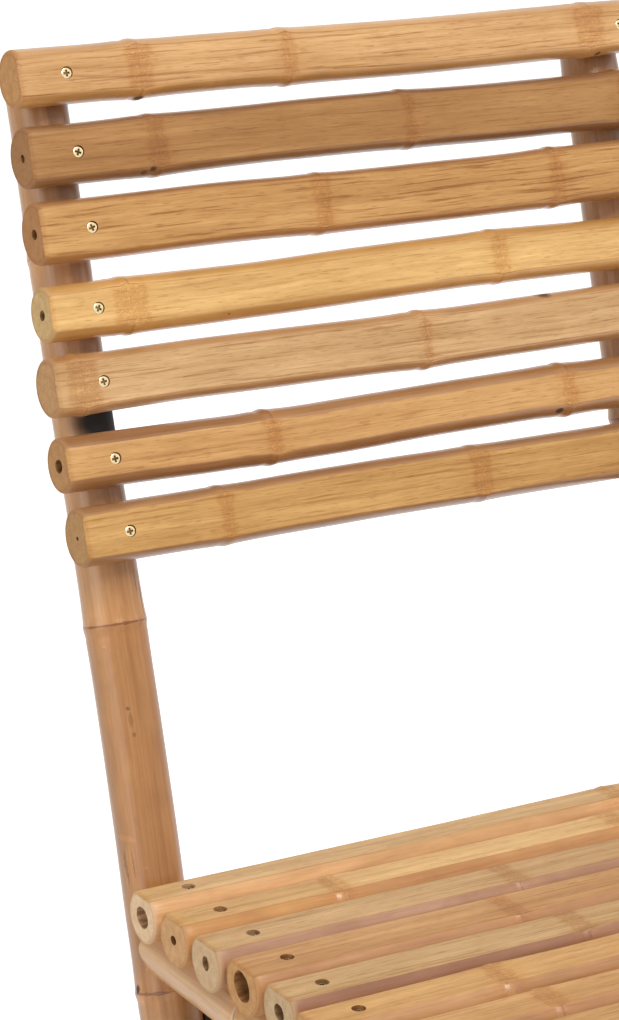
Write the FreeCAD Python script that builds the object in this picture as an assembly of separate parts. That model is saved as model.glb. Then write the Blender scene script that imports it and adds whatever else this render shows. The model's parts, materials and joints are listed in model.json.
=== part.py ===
import FreeCAD, Part
import os
from math import acos, atan2, cos, pi, radians, sin, sqrt, tan

V = FreeCAD.Vector

# Bamboo folding recliner, in millimetres and degrees.
# X runs across the seat with the sitter's left at +X, -Y is forwards and Z is up from the floor.
# The frame is a pair of side rails, a slatted back that leans on two posts, and two pairs of folding legs.

# Layout of the seat and back
rail_height = 375.0
pole_plane = 225.0
back_lean = 16.7
post_above_rail = 600.0
post_tail = 86.0
hinge_below_rail = 62.0

# Bamboo poles
post_foot_diameter = 43.5
post_head_diameter = 40.5
rail_diameter = 41.0
cross_pole_diameter = 28.0
leg_diameter = 34.0
front_stretcher_diameter = 26.0
rear_stretcher_diameter = 24.0
node_rise = 1.3
node_half_width = 8.0
post_node_first = 117.0
post_internode = 250.0
rail_node_first = 140.0
rail_internode = 205.0
leg_node_below_pivot = 150.0

# Slats, planed flat on the side that the sitter touches
slat_overhang = 33.0
planed_height = 33.5
back_slat_bite = 5.0
seat_slat_bite = 2.0
back_slat_pitch = 51.0
back_slat_lowest = 280.0
seat_slat_pitch = 44.0
slat_bore_depth = 20.0
rail_past_last_slat = 14.0

# Each back slat from the top: diameter, bore in its ends, node places across the seat
back_slats = (
    (39.0, 0.0, (-169.0, -59.0, 200.0)),
    (41.0, 5.6, (-170.0, 35.0, 200.0)),
    (42.0, 7.5, (-52.0, 150.0)),
    (38.0, 7.5, (-206.0, 94.0)),
    (40.0, 0.0, (-246.0, 23.0)),
    (37.0, 10.0, (-101.0, 143.0)),
    (40.0, 0.0, (-150.0, 49.0)),
)
# Each seat slat from the back: the same
seat_slats = (
    (37.0, 15.4, (122.0,)),
    (38.0, 7.0, (-135.0, 93.0)),
    (39.5, 9.3, (-25.0, 190.0)),
    (41.0, 20.0, (-55.0, 175.0)),
    (40.0, 11.4, (-31.0, 200.0)),
    (39.0, 0.0, (-118.0, 110.0)),
    (38.0, 9.3, (-111.0, 120.0)),
    (40.0, 0.0, (-195.0, 75.0)),
    (39.0, 11.4, (-60.0, 185.0)),
    (41.0, 0.0, (-140.0, 110.0)),
)

# Clearances
running_clearance = 0.1
body_gap = 0.3
post_to_slat_gap = 2.5

# Wood screws
screw_head_diameter = 8.0
screw_head_depth = 2.6
screw_diameter = 4.0
screw_length = 45.0
screw_point = 5.0
seat_screw_sink = 3.0
seat_screw_bore = 9.0
seat_screw_inset = 4.0
plate_screw_length = 24.0
stretcher_screw_length = 38.0

# Steel plates on the rails' inner sides
plate_thickness = 4.0
plate_seat_depth = 3.0
plate_pocket_margin = 2.0
strap_edge_margin = 0.5
hub_radius = 17.0
recline_strap = (46.0, 132.0)
recline_web = (78.0, 114.0)
clamp_radius = 60.0
slot_clearance = 0.3
sector_rim = 10.0
back_travel = 74.0
hinge_strap = (356.0, 434.0)
lug_radius = 13.0

# Legs
front_pivot_forward = 395.0
front_pivot_drop = 4.0
front_splay = 6.3
rear_splay = 22.0
front_leg_plane = 182.0
rear_leg_plane = 146.0
leg_head = 26.0
cheek_depth = 2.0
cheek_below_pivot = 30.0
front_stretchers = (95.0, 245.0)
rear_stretchers = (110.0, 262.0)
front_stretcher_length = 424.0
lap_bite = 2.0
tenon_depth = 12.0
cross_poles = (165.0, 315.0)

# Bolts, rods and knobs
pivot_bolt_diameter = 10.0
clamp_bolt_diameter = 8.0
clamp_head_radius = 9.0
clamp_head_thickness = 2.5
washer_radius = 11.0
washer_thickness = 2.0
hex_across_flats = 17.0
hex_head_height = 6.4
nut_height = 8.0
bolt_end = 2.0
sleeve_wall = 4.0
stop_rod_diameter = 12.0
stop_rod_below_pivot = 52.0
stop_nut_height = 5.0
spotface_depth = 2.5
spotface_margin = 1.5
knob_radius = 19.0
knob_height = 22.0
knob_lobes = 6
knob_scallop_radius = 8.0
knob_edge = 3.0
knob_bore_depth = 16.0

# Worked out from the sizes above
lean = radians(back_lean)
rail_radius = rail_diameter / 2
leg_radius = leg_diameter / 2
stop_rod_radius = stop_rod_diameter / 2
back_slat_highest = back_slat_lowest + back_slat_pitch * (len(back_slats) - 1)
hinge_forward = hinge_below_rail * sin(lean)
hinge_height = rail_height - hinge_below_rail * cos(lean)
front_pivot_height = hinge_height - front_pivot_drop
slat_length = 2 * (pole_plane + slat_overhang)
post_length = post_above_rail + hinge_below_rail + post_tail
plate_outer = pole_plane - rail_radius + plate_seat_depth
plate_inner = plate_outer - plate_thickness
strap_half_height = sqrt(rail_radius ** 2 - (rail_radius - plate_seat_depth) ** 2) - strap_edge_margin
spotface_plane = pole_plane + post_foot_diameter / 2 - spotface_depth
rail_top = rail_radius - seat_slat_bite
first_seat_slat = (
    (post_foot_diameter + seat_slats[0][0]) / 2 + post_to_slat_gap
) / cos(lean) - (rail_top + seat_slats[0][0] / 2) * tan(lean)
rail_end = first_seat_slat + seat_slat_pitch * (len(seat_slats) - 1) + rail_past_last_slat
FRONT_LEGS = (front_pivot_forward, front_pivot_height, radians(front_splay), 1)
REAR_LEGS = (hinge_forward, hinge_height, radians(rear_splay), -1)
SIDES = (("left", 1), ("right", -1))


def spot(x, forward, height):
    """A point x to the sitter's left, forward of the post's foot at the rail, and above the floor."""
    return V(x, -forward, height)


def post_spot(x, up, out=0.0):
    """A point up the leaning post from the rail, and out from its axis towards the sitter."""
    return spot(x, out * cos(lean) - up * sin(lean), rail_height + up * cos(lean) + out * sin(lean))


def leg_spot(legs, x, below, out=0.0):
    """A point down a leg from its pivot, and out on the side that the leg is splayed to."""
    forward, height, splay, way = legs
    return spot(x, forward + way * (below * sin(splay) + out * cos(splay)),
                height - below * cos(splay) + out * sin(splay))


def post_radius(up):
    """The post's radius at a height up the post from the rail axis."""
    share = (up + hinge_below_rail + post_tail) / post_length
    return (post_foot_diameter + (post_head_diameter - post_foot_diameter) * share) / 2


def turned(outline, axis_start, axis_direction):
    """A solid turned from an outline of (radius, distance along) points."""
    points = [V(radius, 0, along) for radius, along in outline]
    face = Part.Face(Part.makePolygon(points + [points[0]]))
    solid = face.revolve(V(0, 0, 0), V(0, 0, 1), 360)
    solid.Placement = FreeCAD.Placement(axis_start, FreeCAD.Rotation(V(0, 0, 1), axis_direction))
    return solid


def culm(start, end, start_diameter, end_diameter, nodes, grow=0.0):
    """A bamboo pole with a ring at each node, nodes being distances from its start."""
    length = (end - start).Length

    def radius(along):
        return (start_diameter + (end_diameter - start_diameter) * along / length) / 2 + grow

    outline = [(0, 0), (radius(0), 0)]
    for node in sorted(nodes):
        outline.append((radius(node), node - node_half_width))
        outline.append((radius(node) + node_rise, node))
        outline.append((radius(node), node + node_half_width))
    outline += [(radius(length), length), (0, length)]
    return turned(outline, start, end - start)


def bar(start, end, diameter):
    """A plain round bar."""
    return Part.makeCylinder(diameter / 2, (end - start).Length, start, end - start)


def cross_bar(inner, outer, forward, height, diameter):
    """A plain round bar across the seat on the sitter's left."""
    return bar(spot(inner, forward, height), spot(outer, forward, height), diameter)


def hexagon(inner, outer, forward, height, across_flats):
    """A hexagonal bar across the seat, for bolt heads and nuts."""
    corner = across_flats / sqrt(3)
    ring = [spot(inner, forward + corner * cos(k * pi / 3), height + corner * sin(k * pi / 3)) for k in range(7)]
    return Part.Face(Part.makePolygon(ring)).extrude(V(outer - inner, 0, 0))


def slab(low, high):
    """A box between two corners, used to cut flats."""
    size = high - low
    return Part.makeBox(size.x, size.y, size.z, low)


def screw(head, direction, length):
    """A countersunk wood screw whose head face is centred on the given point."""
    outline = [(0, 0), (screw_head_diameter / 2, 0), (screw_diameter / 2, screw_head_depth),
               (screw_diameter / 2, length - screw_point), (0, length)]
    return turned(outline, head, direction)


def mirrored(shape):
    """The same piece for the sitter's right."""
    return shape.mirror(V(0, 0, 0), V(1, 0, 0))


def both_sides(shapes):
    """Pieces for the sitter's left, joined by their mirror images in one group."""
    return Part.makeCompound(list(shapes) + [mirrored(shape) for shape in shapes])


# Posts and rails

def round_post(side, grow=0.0):
    """The post before it is planed and bored, grown a little where it is used to cope a rail."""
    x = side * pole_plane
    foot = -hinge_below_rail - post_tail
    first = post_node_first + (0.0 if side < 0 else post_internode / 3)
    nodes = [first + post_internode * k for k in range(int((post_length - first) / post_internode) + 1)]
    return culm(post_spot(x, foot), post_spot(x, post_above_rail), post_foot_diameter,
                post_head_diameter, nodes, grow)


def clamp_spot():
    """Forward distance and height of the clamp bolt, down the post's tail from the hinge."""
    return hinge_forward + clamp_radius * sin(lean), hinge_height - clamp_radius * cos(lean)


def back_post(side):
    """A post with its tail planed flat beside the plate, spotfaced and bored for its two bolts."""
    post = round_post(side)
    rod = stop_rod_spot(REAR_LEGS)
    flat = lean + radians(back_travel)
    lug_reach = (hinge_forward - rod[0]) * sin(flat) + (rod[1] - hinge_height) * cos(flat)
    top = -hinge_below_rail + max(hub_radius, lug_reach) + 2 * plate_pocket_margin
    foot = -hinge_below_rail - post_tail - node_half_width
    side_face = plate_outer + body_gap
    low = pole_plane - post_foot_diameter
    corners = ((top, -low), (top, low), (foot, low), (foot, -low), (top, -low))
    outline = Part.makePolygon([post_spot(low, up, out) for up, out in corners])
    planed = Part.Face(outline).extrude(V(side_face - low, 0, 0))
    cutters = [planed]
    for (forward, height), hole in (((hinge_forward, hinge_height), pivot_bolt_diameter),
                                    (clamp_spot(), clamp_bolt_diameter)):
        cutters.append(cross_bar(plate_inner, pole_plane + post_foot_diameter, forward, height,
                                 hole + 2 * running_clearance))
        cutters.append(cross_bar(spotface_plane, pole_plane + post_foot_diameter, forward, height,
                                 2 * (washer_radius + spotface_margin)))
    if side < 0:
        cutters = [mirrored(cutter) for cutter in cutters]
    return post.cut(cutters)


def round_rail(side):
    """A rail before it is coped, planed and bored."""
    x = side * pole_plane
    first = rail_node_first + (0.0 if side < 0 else rail_internode / 4)
    nodes = [first + rail_internode * k for k in range(int((rail_end - first) / rail_internode) + 1)]
    return culm(spot(x, 0, rail_height), spot(x, rail_end, rail_height), rail_diameter, rail_diameter, nodes)


def seat_rail(side, cross_pole_pieces):
    """A rail coped round the front of its post, with flats planed for the two plates."""
    rail = round_rail(side)
    pockets = []
    for rear, front in (recline_strap, hinge_strap):
        margin = strap_half_height + plate_pocket_margin
        pocket = slab(spot(plate_outer - rail_diameter, front + margin, rail_height - rail_diameter),
                      spot(plate_outer, rear - margin, rail_height + rail_diameter))
        pockets.append(pocket if side > 0 else mirrored(pocket))
    return rail.cut([round_post(side, body_gap)] + pockets + cross_pole_pieces)


# Slats

def slat(diameter, bore, nodes, planed_side, centre, rests_on, screws, sink, screw_plane):
    """A slat across the seat, planed on one side and saddled where it crosses its poles."""
    half = slat_length / 2
    pole = culm(V(-half, 0, 0), V(half, 0, 0), diameter, diameter, [half + node for node in nodes])
    flat = planed_height - diameter / 2
    cutters = [slab(V(-slat_length, -diameter, flat), V(slat_length, diameter, flat + diameter))]
    for end in (-1, 1):
        if bore > 0:
            cutters.append(bar(V(end * half, 0, 0), V(end * (half - slat_bore_depth), 0, 0), bore))
        if sink > 0:
            cutters.append(bar(V(end * screw_plane, 0, flat - sink), V(end * screw_plane, 0, flat), seat_screw_bore))
    shaped = pole.cut(cutters)
    shaped.Placement = FreeCAD.Placement(centre, FreeCAD.Rotation(V(0, 0, 1), planed_side))
    return shaped.cut(rests_on + screws)


def screw_pair(face, planed_side, sink, screw_plane):
    """The two screws of a slat, driven square to its planed face."""
    inward = planed_side * -1
    return [screw(face + V(side * screw_plane, 0, 0) + inward * sink, inward, screw_length) for _, side in SIDES]


# Steel plates

def link(first, first_radius, second, second_radius):
    """A plate outline round two eyes joined by their common tangents, points being (forward, height)."""
    run, rise = second[0] - first[0], second[1] - first[1]
    along = atan2(rise, run)
    spread = acos((first_radius - second_radius) / sqrt(run ** 2 + rise ** 2))

    def rim(centre, radius, angle):
        return spot(plate_inner, centre[0] + radius * cos(angle), centre[1] + radius * sin(angle))

    corners = [rim(first, first_radius, along + spread), rim(second, second_radius, along + spread),
               rim(second, second_radius, along - spread), rim(first, first_radius, along - spread)]
    edges = [Part.LineSegment(corners[0], corners[1]),
             Part.Arc(corners[1], rim(second, second_radius, along), corners[2]),
             Part.LineSegment(corners[2], corners[3]),
             Part.Arc(corners[3], rim(first, first_radius, along + pi), corners[0])]
    face = Part.Face(Part.Wire([edge.toShape() for edge in edges]))
    return face.extrude(V(plate_thickness, 0, 0))


def sector_rim_spot(radius, angle):
    """A point on an arc about the hinge, the angle being forward of straight down."""
    return spot(plate_inner, hinge_forward + radius * sin(angle), hinge_height - radius * cos(angle))


def sector(radius, start, end):
    """A slice of plate about the hinge."""
    corner = sector_rim_spot(0, 0)
    first, last = sector_rim_spot(radius, start), sector_rim_spot(radius, end)
    arc = Part.Arc(first, sector_rim_spot(radius, (start + end) / 2), last)
    edges = [Part.LineSegment(corner, first), arc, Part.LineSegment(last, corner)]
    return Part.Face(Part.Wire([edge.toShape() for edge in edges])).extrude(V(plate_thickness, 0, 0))


def arc_slot(half_width):
    """The curved slot that the clamp bolt runs in, from upright to flat."""
    start, end = lean, lean + radians(back_travel)
    middle = (start + end) / 2
    inner, outer = clamp_radius - half_width, clamp_radius + half_width
    cap = half_width / clamp_radius
    edges = [Part.Arc(sector_rim_spot(outer, start), sector_rim_spot(outer, middle), sector_rim_spot(outer, end)),
             Part.Arc(sector_rim_spot(outer, end), sector_rim_spot(clamp_radius, end + cap),
                      sector_rim_spot(inner, end)),
             Part.Arc(sector_rim_spot(inner, end), sector_rim_spot(inner, middle), sector_rim_spot(inner, start)),
             Part.Arc(sector_rim_spot(inner, start), sector_rim_spot(clamp_radius, start - cap),
                      sector_rim_spot(outer, start))]
    face = Part.Face(Part.Wire([edge.toShape() for edge in edges]))
    return face.extrude(V(plate_thickness, 0, 0))


def stop_rod_spot(legs):
    """Forward distance and height of the rod that stops a pair of legs at their splay."""
    place = leg_spot(legs, 0, stop_rod_below_pivot, leg_radius + stop_rod_radius + body_gap)
    return -place.y, place.z


def plate_hole(place, diameter):
    """A round hole through a plate."""
    return cross_bar(plate_inner, plate_outer, place[0], place[1], diameter)


def recline_plate(screws):
    """The plate that the back hinges on: strap, web, slotted quadrant and the rear legs' stop lug."""
    hinge = (hinge_forward, hinge_height)
    slot_half = clamp_bolt_diameter / 2 + slot_clearance
    rim = clamp_radius + slot_half + sector_rim
    overlap = (slot_half + sector_rim) / clamp_radius
    strap = [(forward, rail_height) for forward in recline_strap]
    web = [(forward, rail_height) for forward in recline_web]
    slot_end = (hinge_forward + clamp_radius, hinge_height)
    rod = stop_rod_spot(REAR_LEGS)
    plate = link(strap[0], strap_half_height, strap[1], strap_half_height).fuse([
        link(web[0], strap_half_height, slot_end, slot_half + sector_rim),
        link(web[1], strap_half_height, slot_end, slot_half + sector_rim),
        sector(rim, lean - overlap, lean + radians(back_travel) + overlap),
        link(hinge, hub_radius, rod, lug_radius),
    ]).removeSplitter()
    return plate.cut([plate_hole(hinge, pivot_bolt_diameter + 2 * running_clearance),
                      plate_hole(rod, stop_rod_diameter), arc_slot(slot_half)] + screws)


def front_hinge_plate(screws):
    """The plate that a front leg hangs from, with the front legs' stop lug."""
    pivot = (front_pivot_forward, front_pivot_height)
    rod = stop_rod_spot(FRONT_LEGS)
    strap = [(forward, rail_height) for forward in hinge_strap]
    plate = link(strap[0], strap_half_height, strap[1], strap_half_height).fuse([
        link(strap[0], strap_half_height, pivot, hub_radius),
        link(strap[1], strap_half_height, pivot, hub_radius),
        link(pivot, hub_radius, rod, lug_radius),
    ]).removeSplitter()
    return plate.cut([plate_hole(pivot, pivot_bolt_diameter + 2 * running_clearance),
                      plate_hole(rod, stop_rod_diameter)] + screws)


def plate_screw_set():
    """The screws that hold the plates to a rail, one at each end of a strap."""
    places = list(recline_strap) + list(hinge_strap)
    return [screw(spot(plate_inner, forward, rail_height), V(1, 0, 0), plate_screw_length) for forward in places]


# Legs

def leg(legs, plane, side, joined):
    """A leg with a rounded head and planed cheeks at its pivot, cut level at the floor."""
    forward, height, splay, way = legs
    length = height / cos(splay) + leg_diameter
    pole = culm(V(0, 0, -length), V(0, 0, leg_head), leg_diameter, leg_diameter,
                [length - leg_node_below_pivot - (1 + side) * node_half_width])
    cheek = leg_radius - cheek_depth
    head = bar(V(-leg_diameter, 0, 0), V(leg_diameter, 0, 0), 2 * leg_head)
    above = slab(V(-leg_diameter, -leg_diameter, 0), V(leg_diameter, leg_diameter, leg_diameter))
    cutters = [above.cut(head), bar(V(-leg_diameter, 0, 0), V(leg_diameter, 0, 0),
                                    pivot_bolt_diameter + 2 * running_clearance)]
    for low, high in ((-leg_diameter, -cheek), (cheek, leg_diameter)):
        cutters.append(slab(V(low, -leg_diameter, -cheek_below_pivot), V(high, leg_diameter, leg_diameter)))
    shaped = pole.cut(cutters)
    turn = FreeCAD.Rotation(V(1, 0, 0), -way * splay * 180 / pi)
    shaped.Placement = FreeCAD.Placement(spot(side * plane, forward, height), turn)
    floor_cut = slab(spot(-pole_plane, front_pivot_forward * 2, -rail_height),
                     spot(pole_plane, -front_pivot_forward, 0))
    return shaped.cut([floor_cut] + joined)


def front_stretcher(below):
    """A stretcher lapped over the front legs, before it is saddled to them."""
    out = leg_radius + front_stretcher_diameter / 2 - lap_bite
    half = front_stretcher_length / 2
    node = half + below / 2
    return culm(leg_spot(FRONT_LEGS, -half, below, out), leg_spot(FRONT_LEGS, half, below, out),
                front_stretcher_diameter, front_stretcher_diameter, [node])


def stretcher_screw_set(below):
    """The screws through a front stretcher, one into each leg."""
    face = leg_radius + front_stretcher_diameter - lap_bite
    inward = leg_spot(FRONT_LEGS, 0, 0, -1) - leg_spot(FRONT_LEGS, 0, 0, 0)
    return [screw(leg_spot(FRONT_LEGS, side * front_leg_plane, below, face), inward, stretcher_screw_length)
            for _, side in SIDES]


def rear_stretcher(below):
    """A stretcher between the rear legs, with its ends let into them."""
    half = rear_leg_plane - leg_radius + tenon_depth
    return culm(leg_spot(REAR_LEGS, -half, below), leg_spot(REAR_LEGS, half, below),
                rear_stretcher_diameter, rear_stretcher_diameter, [half - below / 4])


def cross_pole(forward):
    """A pole between the rails under the slats, with its ends let into them."""
    half = pole_plane - rail_radius + tenon_depth
    return culm(spot(-half, forward, rail_height), spot(half, forward, rail_height),
                cross_pole_diameter, cross_pole_diameter, [half + forward / 4])


# Bolts, rods and knobs

def recline_bolt():
    """The hinge bolt of the back, which also carries a rear leg."""
    seat = spotface_plane + body_gap + washer_thickness
    end = rear_leg_plane - leg_radius + cheek_depth - body_gap - washer_thickness - nut_height - bolt_end
    head = hexagon(seat, seat + hex_head_height, hinge_forward, hinge_height, hex_across_flats)
    return head.fuse(cross_bar(end, seat, hinge_forward, hinge_height, pivot_bolt_diameter)).removeSplitter()


def front_leg_bolt():
    """The bolt that a front leg turns on."""
    end = front_leg_plane - leg_radius + cheek_depth - body_gap - washer_thickness - nut_height - bolt_end
    head = hexagon(plate_outer, plate_outer + hex_head_height, front_pivot_forward, front_pivot_height,
                   hex_across_flats)
    shank = cross_bar(end, plate_outer, front_pivot_forward, front_pivot_height, pivot_bolt_diameter)
    return head.fuse(shank).removeSplitter()


def ring(inner, outer, place, outside, hole):
    """A washer or sleeve across the seat."""
    return cross_bar(inner, outer, place[0], place[1], outside).cut(
        cross_bar(inner, outer, place[0], place[1], hole))


def pivot_hardware():
    """Nuts, washers and spacer sleeves of the leg pivots, each as a list for the sitter's left."""
    nuts, washers, sleeves = [], [], []
    hole = pivot_bolt_diameter + 2 * running_clearance
    for place, plane in (((hinge_forward, hinge_height), rear_leg_plane),
                         ((front_pivot_forward, front_pivot_height), front_leg_plane)):
        cheek = leg_radius - cheek_depth
        face = plane - cheek - body_gap
        washers.append(ring(face - washer_thickness, face, place, 2 * washer_radius, hole))
        nut = hexagon(face - washer_thickness - nut_height, face - washer_thickness, place[0], place[1],
                      hex_across_flats)
        bolt = cross_bar(face - washer_thickness - nut_height, face, place[0], place[1], pivot_bolt_diameter)
        nuts.append(nut.cut(bolt))
        sleeves.append(ring(plane + cheek + body_gap, plate_inner, place,
                            pivot_bolt_diameter + 2 * sleeve_wall, hole))
    face = spotface_plane + body_gap
    washers.append(ring(face, face + washer_thickness, (hinge_forward, hinge_height), 2 * washer_radius, hole))
    return nuts, washers, sleeves


def stop_rod(legs):
    """A steel rod between a pair of plates that a pair of legs leans against."""
    forward, height = stop_rod_spot(legs)
    end = plate_outer + stop_nut_height
    return cross_bar(-end, end, forward, height, stop_rod_diameter)


def stop_nut(legs):
    """The nut on the end of a stop rod."""
    forward, height = stop_rod_spot(legs)
    end = plate_outer + stop_nut_height
    nut = hexagon(plate_outer, end, forward, height, hex_across_flats)
    return nut.cut(cross_bar(plate_outer, end, forward, height, stop_rod_diameter))


def clamp_bolt():
    """A flat-headed bolt through the slot and the post's tail."""
    forward, height = clamp_spot()
    inside = plate_inner - body_gap
    tip = spotface_plane + washer_thickness + body_gap + knob_bore_depth - bolt_end
    head = cross_bar(inside - clamp_head_thickness, inside, forward, height, 2 * clamp_head_radius)
    return head.fuse(cross_bar(inside, tip, forward, height, clamp_bolt_diameter)).removeSplitter()


def clamp_washer():
    """The washer between a post and its clamp knob."""
    return ring(spotface_plane, spotface_plane + washer_thickness, clamp_spot(), 2 * washer_radius,
                clamp_bolt_diameter + 2 * running_clearance)


def clamp_knob():
    """A scalloped hand knob that tightens the clamp."""
    forward, height = clamp_spot()
    base = spotface_plane + washer_thickness + body_gap
    outline = [(0, 0), (washer_radius, 0), (knob_radius, knob_edge), (knob_radius, knob_height - knob_edge),
               (knob_radius - knob_edge, knob_height), (0, knob_height)]
    body = turned(outline, spot(base, forward, height), V(1, 0, 0))
    reach = knob_radius + knob_scallop_radius / 2
    scallops = []
    for k in range(knob_lobes):
        angle = 2 * pi * k / knob_lobes
        scallops.append(cross_bar(base - knob_edge, base + knob_height + knob_edge, forward + reach * cos(angle),
                                  height + reach * sin(angle), 2 * knob_scallop_radius))
    bore = cross_bar(base, base + knob_bore_depth, forward, height, clamp_bolt_diameter + 2 * running_clearance)
    return body.cut(scallops + [bore])


def build():
    """Every node's shape by name."""
    parts = {}
    post_front = post_radius(back_slat_lowest) - back_slat_bite
    back_normal = post_spot(0, 0, 1) - post_spot(0, 0, 0)
    posts = [round_post(side) for _, side in SIDES]
    rails = [round_rail(side) for _, side in SIDES]

    back_screws = []
    for index, (diameter, bore, nodes) in enumerate(back_slats):
        up = back_slat_highest - back_slat_pitch * index
        pair = screw_pair(post_spot(0, up, post_front + planed_height), back_normal, 0.0, pole_plane)
        back_screws += pair
        parts["back_slat_%02d" % (index + 1)] = slat(
            diameter, bore, nodes, back_normal, post_spot(0, up, post_front + diameter / 2), posts, pair, 0.0,
            pole_plane)

    seat_screws = []
    for index, (diameter, bore, nodes) in enumerate(seat_slats):
        forward = first_seat_slat + seat_slat_pitch * index
        bottom = rail_height + rail_top
        screw_plane = pole_plane - seat_screw_inset
        pair = screw_pair(spot(0, forward, bottom + planed_height), V(0, 0, 1), seat_screw_sink, screw_plane)
        seat_screws += pair
        parts["seat_slat_%02d" % (index + 1)] = slat(
            diameter, bore, nodes, V(0, 0, 1), spot(0, forward, bottom + diameter / 2), rails, pair,
            seat_screw_sink, screw_plane)

    cross_pole_pieces = [cross_pole(forward) for forward in cross_poles]
    parts["rear_cross_pole"], parts["front_cross_pole"] = cross_pole_pieces
    plate_screws = plate_screw_set()
    for name, side in SIDES:
        parts["back_post_" + name] = back_post(side)
        parts["seat_rail_" + name] = seat_rail(side, cross_pole_pieces)

    for name, plate in (("recline_plate_", recline_plate(plate_screws)),
                        ("front_hinge_plate_", front_hinge_plate(plate_screws))):
        parts[name + "left"] = plate
        parts[name + "right"] = mirrored(plate)

    stretcher_screws = []
    for name, below in zip(("upper", "lower"), front_stretchers):
        pair = stretcher_screw_set(below)
        stretcher_screws += pair
        legs = [bar(leg_spot(FRONT_LEGS, side * front_leg_plane, below - leg_diameter),
                    leg_spot(FRONT_LEGS, side * front_leg_plane, below + leg_diameter), leg_diameter)
                for _, side in SIDES]
        parts["front_stretcher_" + name] = front_stretcher(below).cut(legs + pair)
    rear_pieces = [rear_stretcher(below) for below in rear_stretchers]
    parts["rear_stretcher_upper"], parts["rear_stretcher_lower"] = rear_pieces
    for name, side in SIDES:
        parts["front_leg_" + name] = leg(FRONT_LEGS, front_leg_plane, side, [])
        parts["rear_leg_" + name] = leg(REAR_LEGS, rear_leg_plane, side, rear_pieces)

    nuts, washers, sleeves = pivot_hardware()
    parts["seat_slat_screws"] = Part.makeCompound(seat_screws)
    parts["back_slat_screws"] = Part.makeCompound(back_screws)
    parts["stretcher_screws"] = Part.makeCompound(stretcher_screws)
    parts["plate_screws"] = both_sides(plate_screws)
    parts["recline_bolts"] = both_sides([recline_bolt()])
    parts["front_leg_bolts"] = both_sides([front_leg_bolt()])
    parts["pivot_nuts"] = both_sides(nuts)
    parts["pivot_washers"] = both_sides(washers)
    parts["leg_spacer_sleeves"] = both_sides(sleeves)
    parts["rear_stop_rod"] = stop_rod(REAR_LEGS)
    parts["front_stop_rod"] = stop_rod(FRONT_LEGS)
    parts["stop_rod_nuts"] = both_sides([stop_nut(REAR_LEGS), stop_nut(FRONT_LEGS)])
    parts["clamp_bolts"] = both_sides([clamp_bolt()])
    parts["clamp_washers"] = both_sides([clamp_washer()])
    knob = clamp_knob()
    parts["clamp_knob_left"] = knob
    parts["clamp_knob_right"] = mirrored(knob)
    return parts


def centred(parts):
    """Every shape moved so that the whole stands over the origin, and the move that did it."""
    whole = Part.makeCompound(list(parts.values())).optimalBoundingBox(False, False)
    move = V(0, -whole.Center.y, 0)
    for shape in parts.values():
        shape.translate(move)
    return move


pieces = build()
shift = centred(pieces)
os.makedirs("parts", exist_ok=True)
for node, shape in pieces.items():
    shape.exportStep("parts/" + node + ".step")
    if not shape.isValid():
        print("not valid:", node)

clamp = clamp_spot()
print("nodes", len(pieces), "solids", sum(len(shape.Solids) for shape in pieces.values()))
print("back hinge", spot(0, hinge_forward, hinge_height) + shift)
print("front leg pivot", spot(0, front_pivot_forward, front_pivot_height) + shift)
print("clamp bolt", spot(0, clamp[0], clamp[1]) + shift)
for name, legs, plane in (("front", FRONT_LEGS, front_leg_plane), ("rear", REAR_LEGS, rear_leg_plane)):
    print(name, "foot", leg_spot(legs, plane, legs[1] / cos(legs[2])) + shift)
print("knob face", spotface_plane + washer_thickness + body_gap)
print("back travel", back_travel)
print("front fold", 90 + front_splay)
print("rear fold", 90 + rear_splay)
size = Part.makeCompound(list(pieces.values())).optimalBoundingBox(False, False)
print("overall", size.XLength, size.YLength, size.ZLength, "low", size.XMin, size.YMin, size.ZMin)
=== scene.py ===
# %% [markdown]
# # A bamboo folding recliner, dressed in Blender
# The part already exists as exact solids. They come in as a frame that never moves, and everything made
# here is put where they are. The solids hold the sizes; this lesson gives them skin, grain and light.
# All lengths are metres. X runs to the sitter's left, -Y is forwards and Z is up.

import json
import math
import random

import bmesh
import bpy
from mathutils import Matrix, Vector, noise


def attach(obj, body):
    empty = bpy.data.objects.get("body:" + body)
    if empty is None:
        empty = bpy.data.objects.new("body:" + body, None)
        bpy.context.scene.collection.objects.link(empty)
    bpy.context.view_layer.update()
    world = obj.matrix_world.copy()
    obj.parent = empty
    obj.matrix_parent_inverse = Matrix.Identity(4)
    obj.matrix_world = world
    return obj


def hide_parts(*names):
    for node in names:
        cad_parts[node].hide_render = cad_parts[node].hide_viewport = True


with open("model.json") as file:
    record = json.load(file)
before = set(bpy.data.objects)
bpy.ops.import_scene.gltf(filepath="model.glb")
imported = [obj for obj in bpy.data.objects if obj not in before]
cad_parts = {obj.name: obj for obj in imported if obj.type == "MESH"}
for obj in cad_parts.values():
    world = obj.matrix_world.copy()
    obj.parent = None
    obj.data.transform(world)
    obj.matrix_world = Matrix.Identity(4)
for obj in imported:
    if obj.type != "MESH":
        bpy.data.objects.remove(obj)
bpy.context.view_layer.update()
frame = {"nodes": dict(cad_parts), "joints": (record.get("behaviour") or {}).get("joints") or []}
scene = bpy.context.scene
scene.view_settings.view_transform = "Standard"

# %% [markdown]
# ## Where things are
# The back turns on a hinge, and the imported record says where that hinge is. The post's axis passes through
# it and crosses the rail's axis 62 mm further up, so every other place follows from that one point. Two
# small helpers turn a distance along a post, or along the seat, into a point of the frame.

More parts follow.
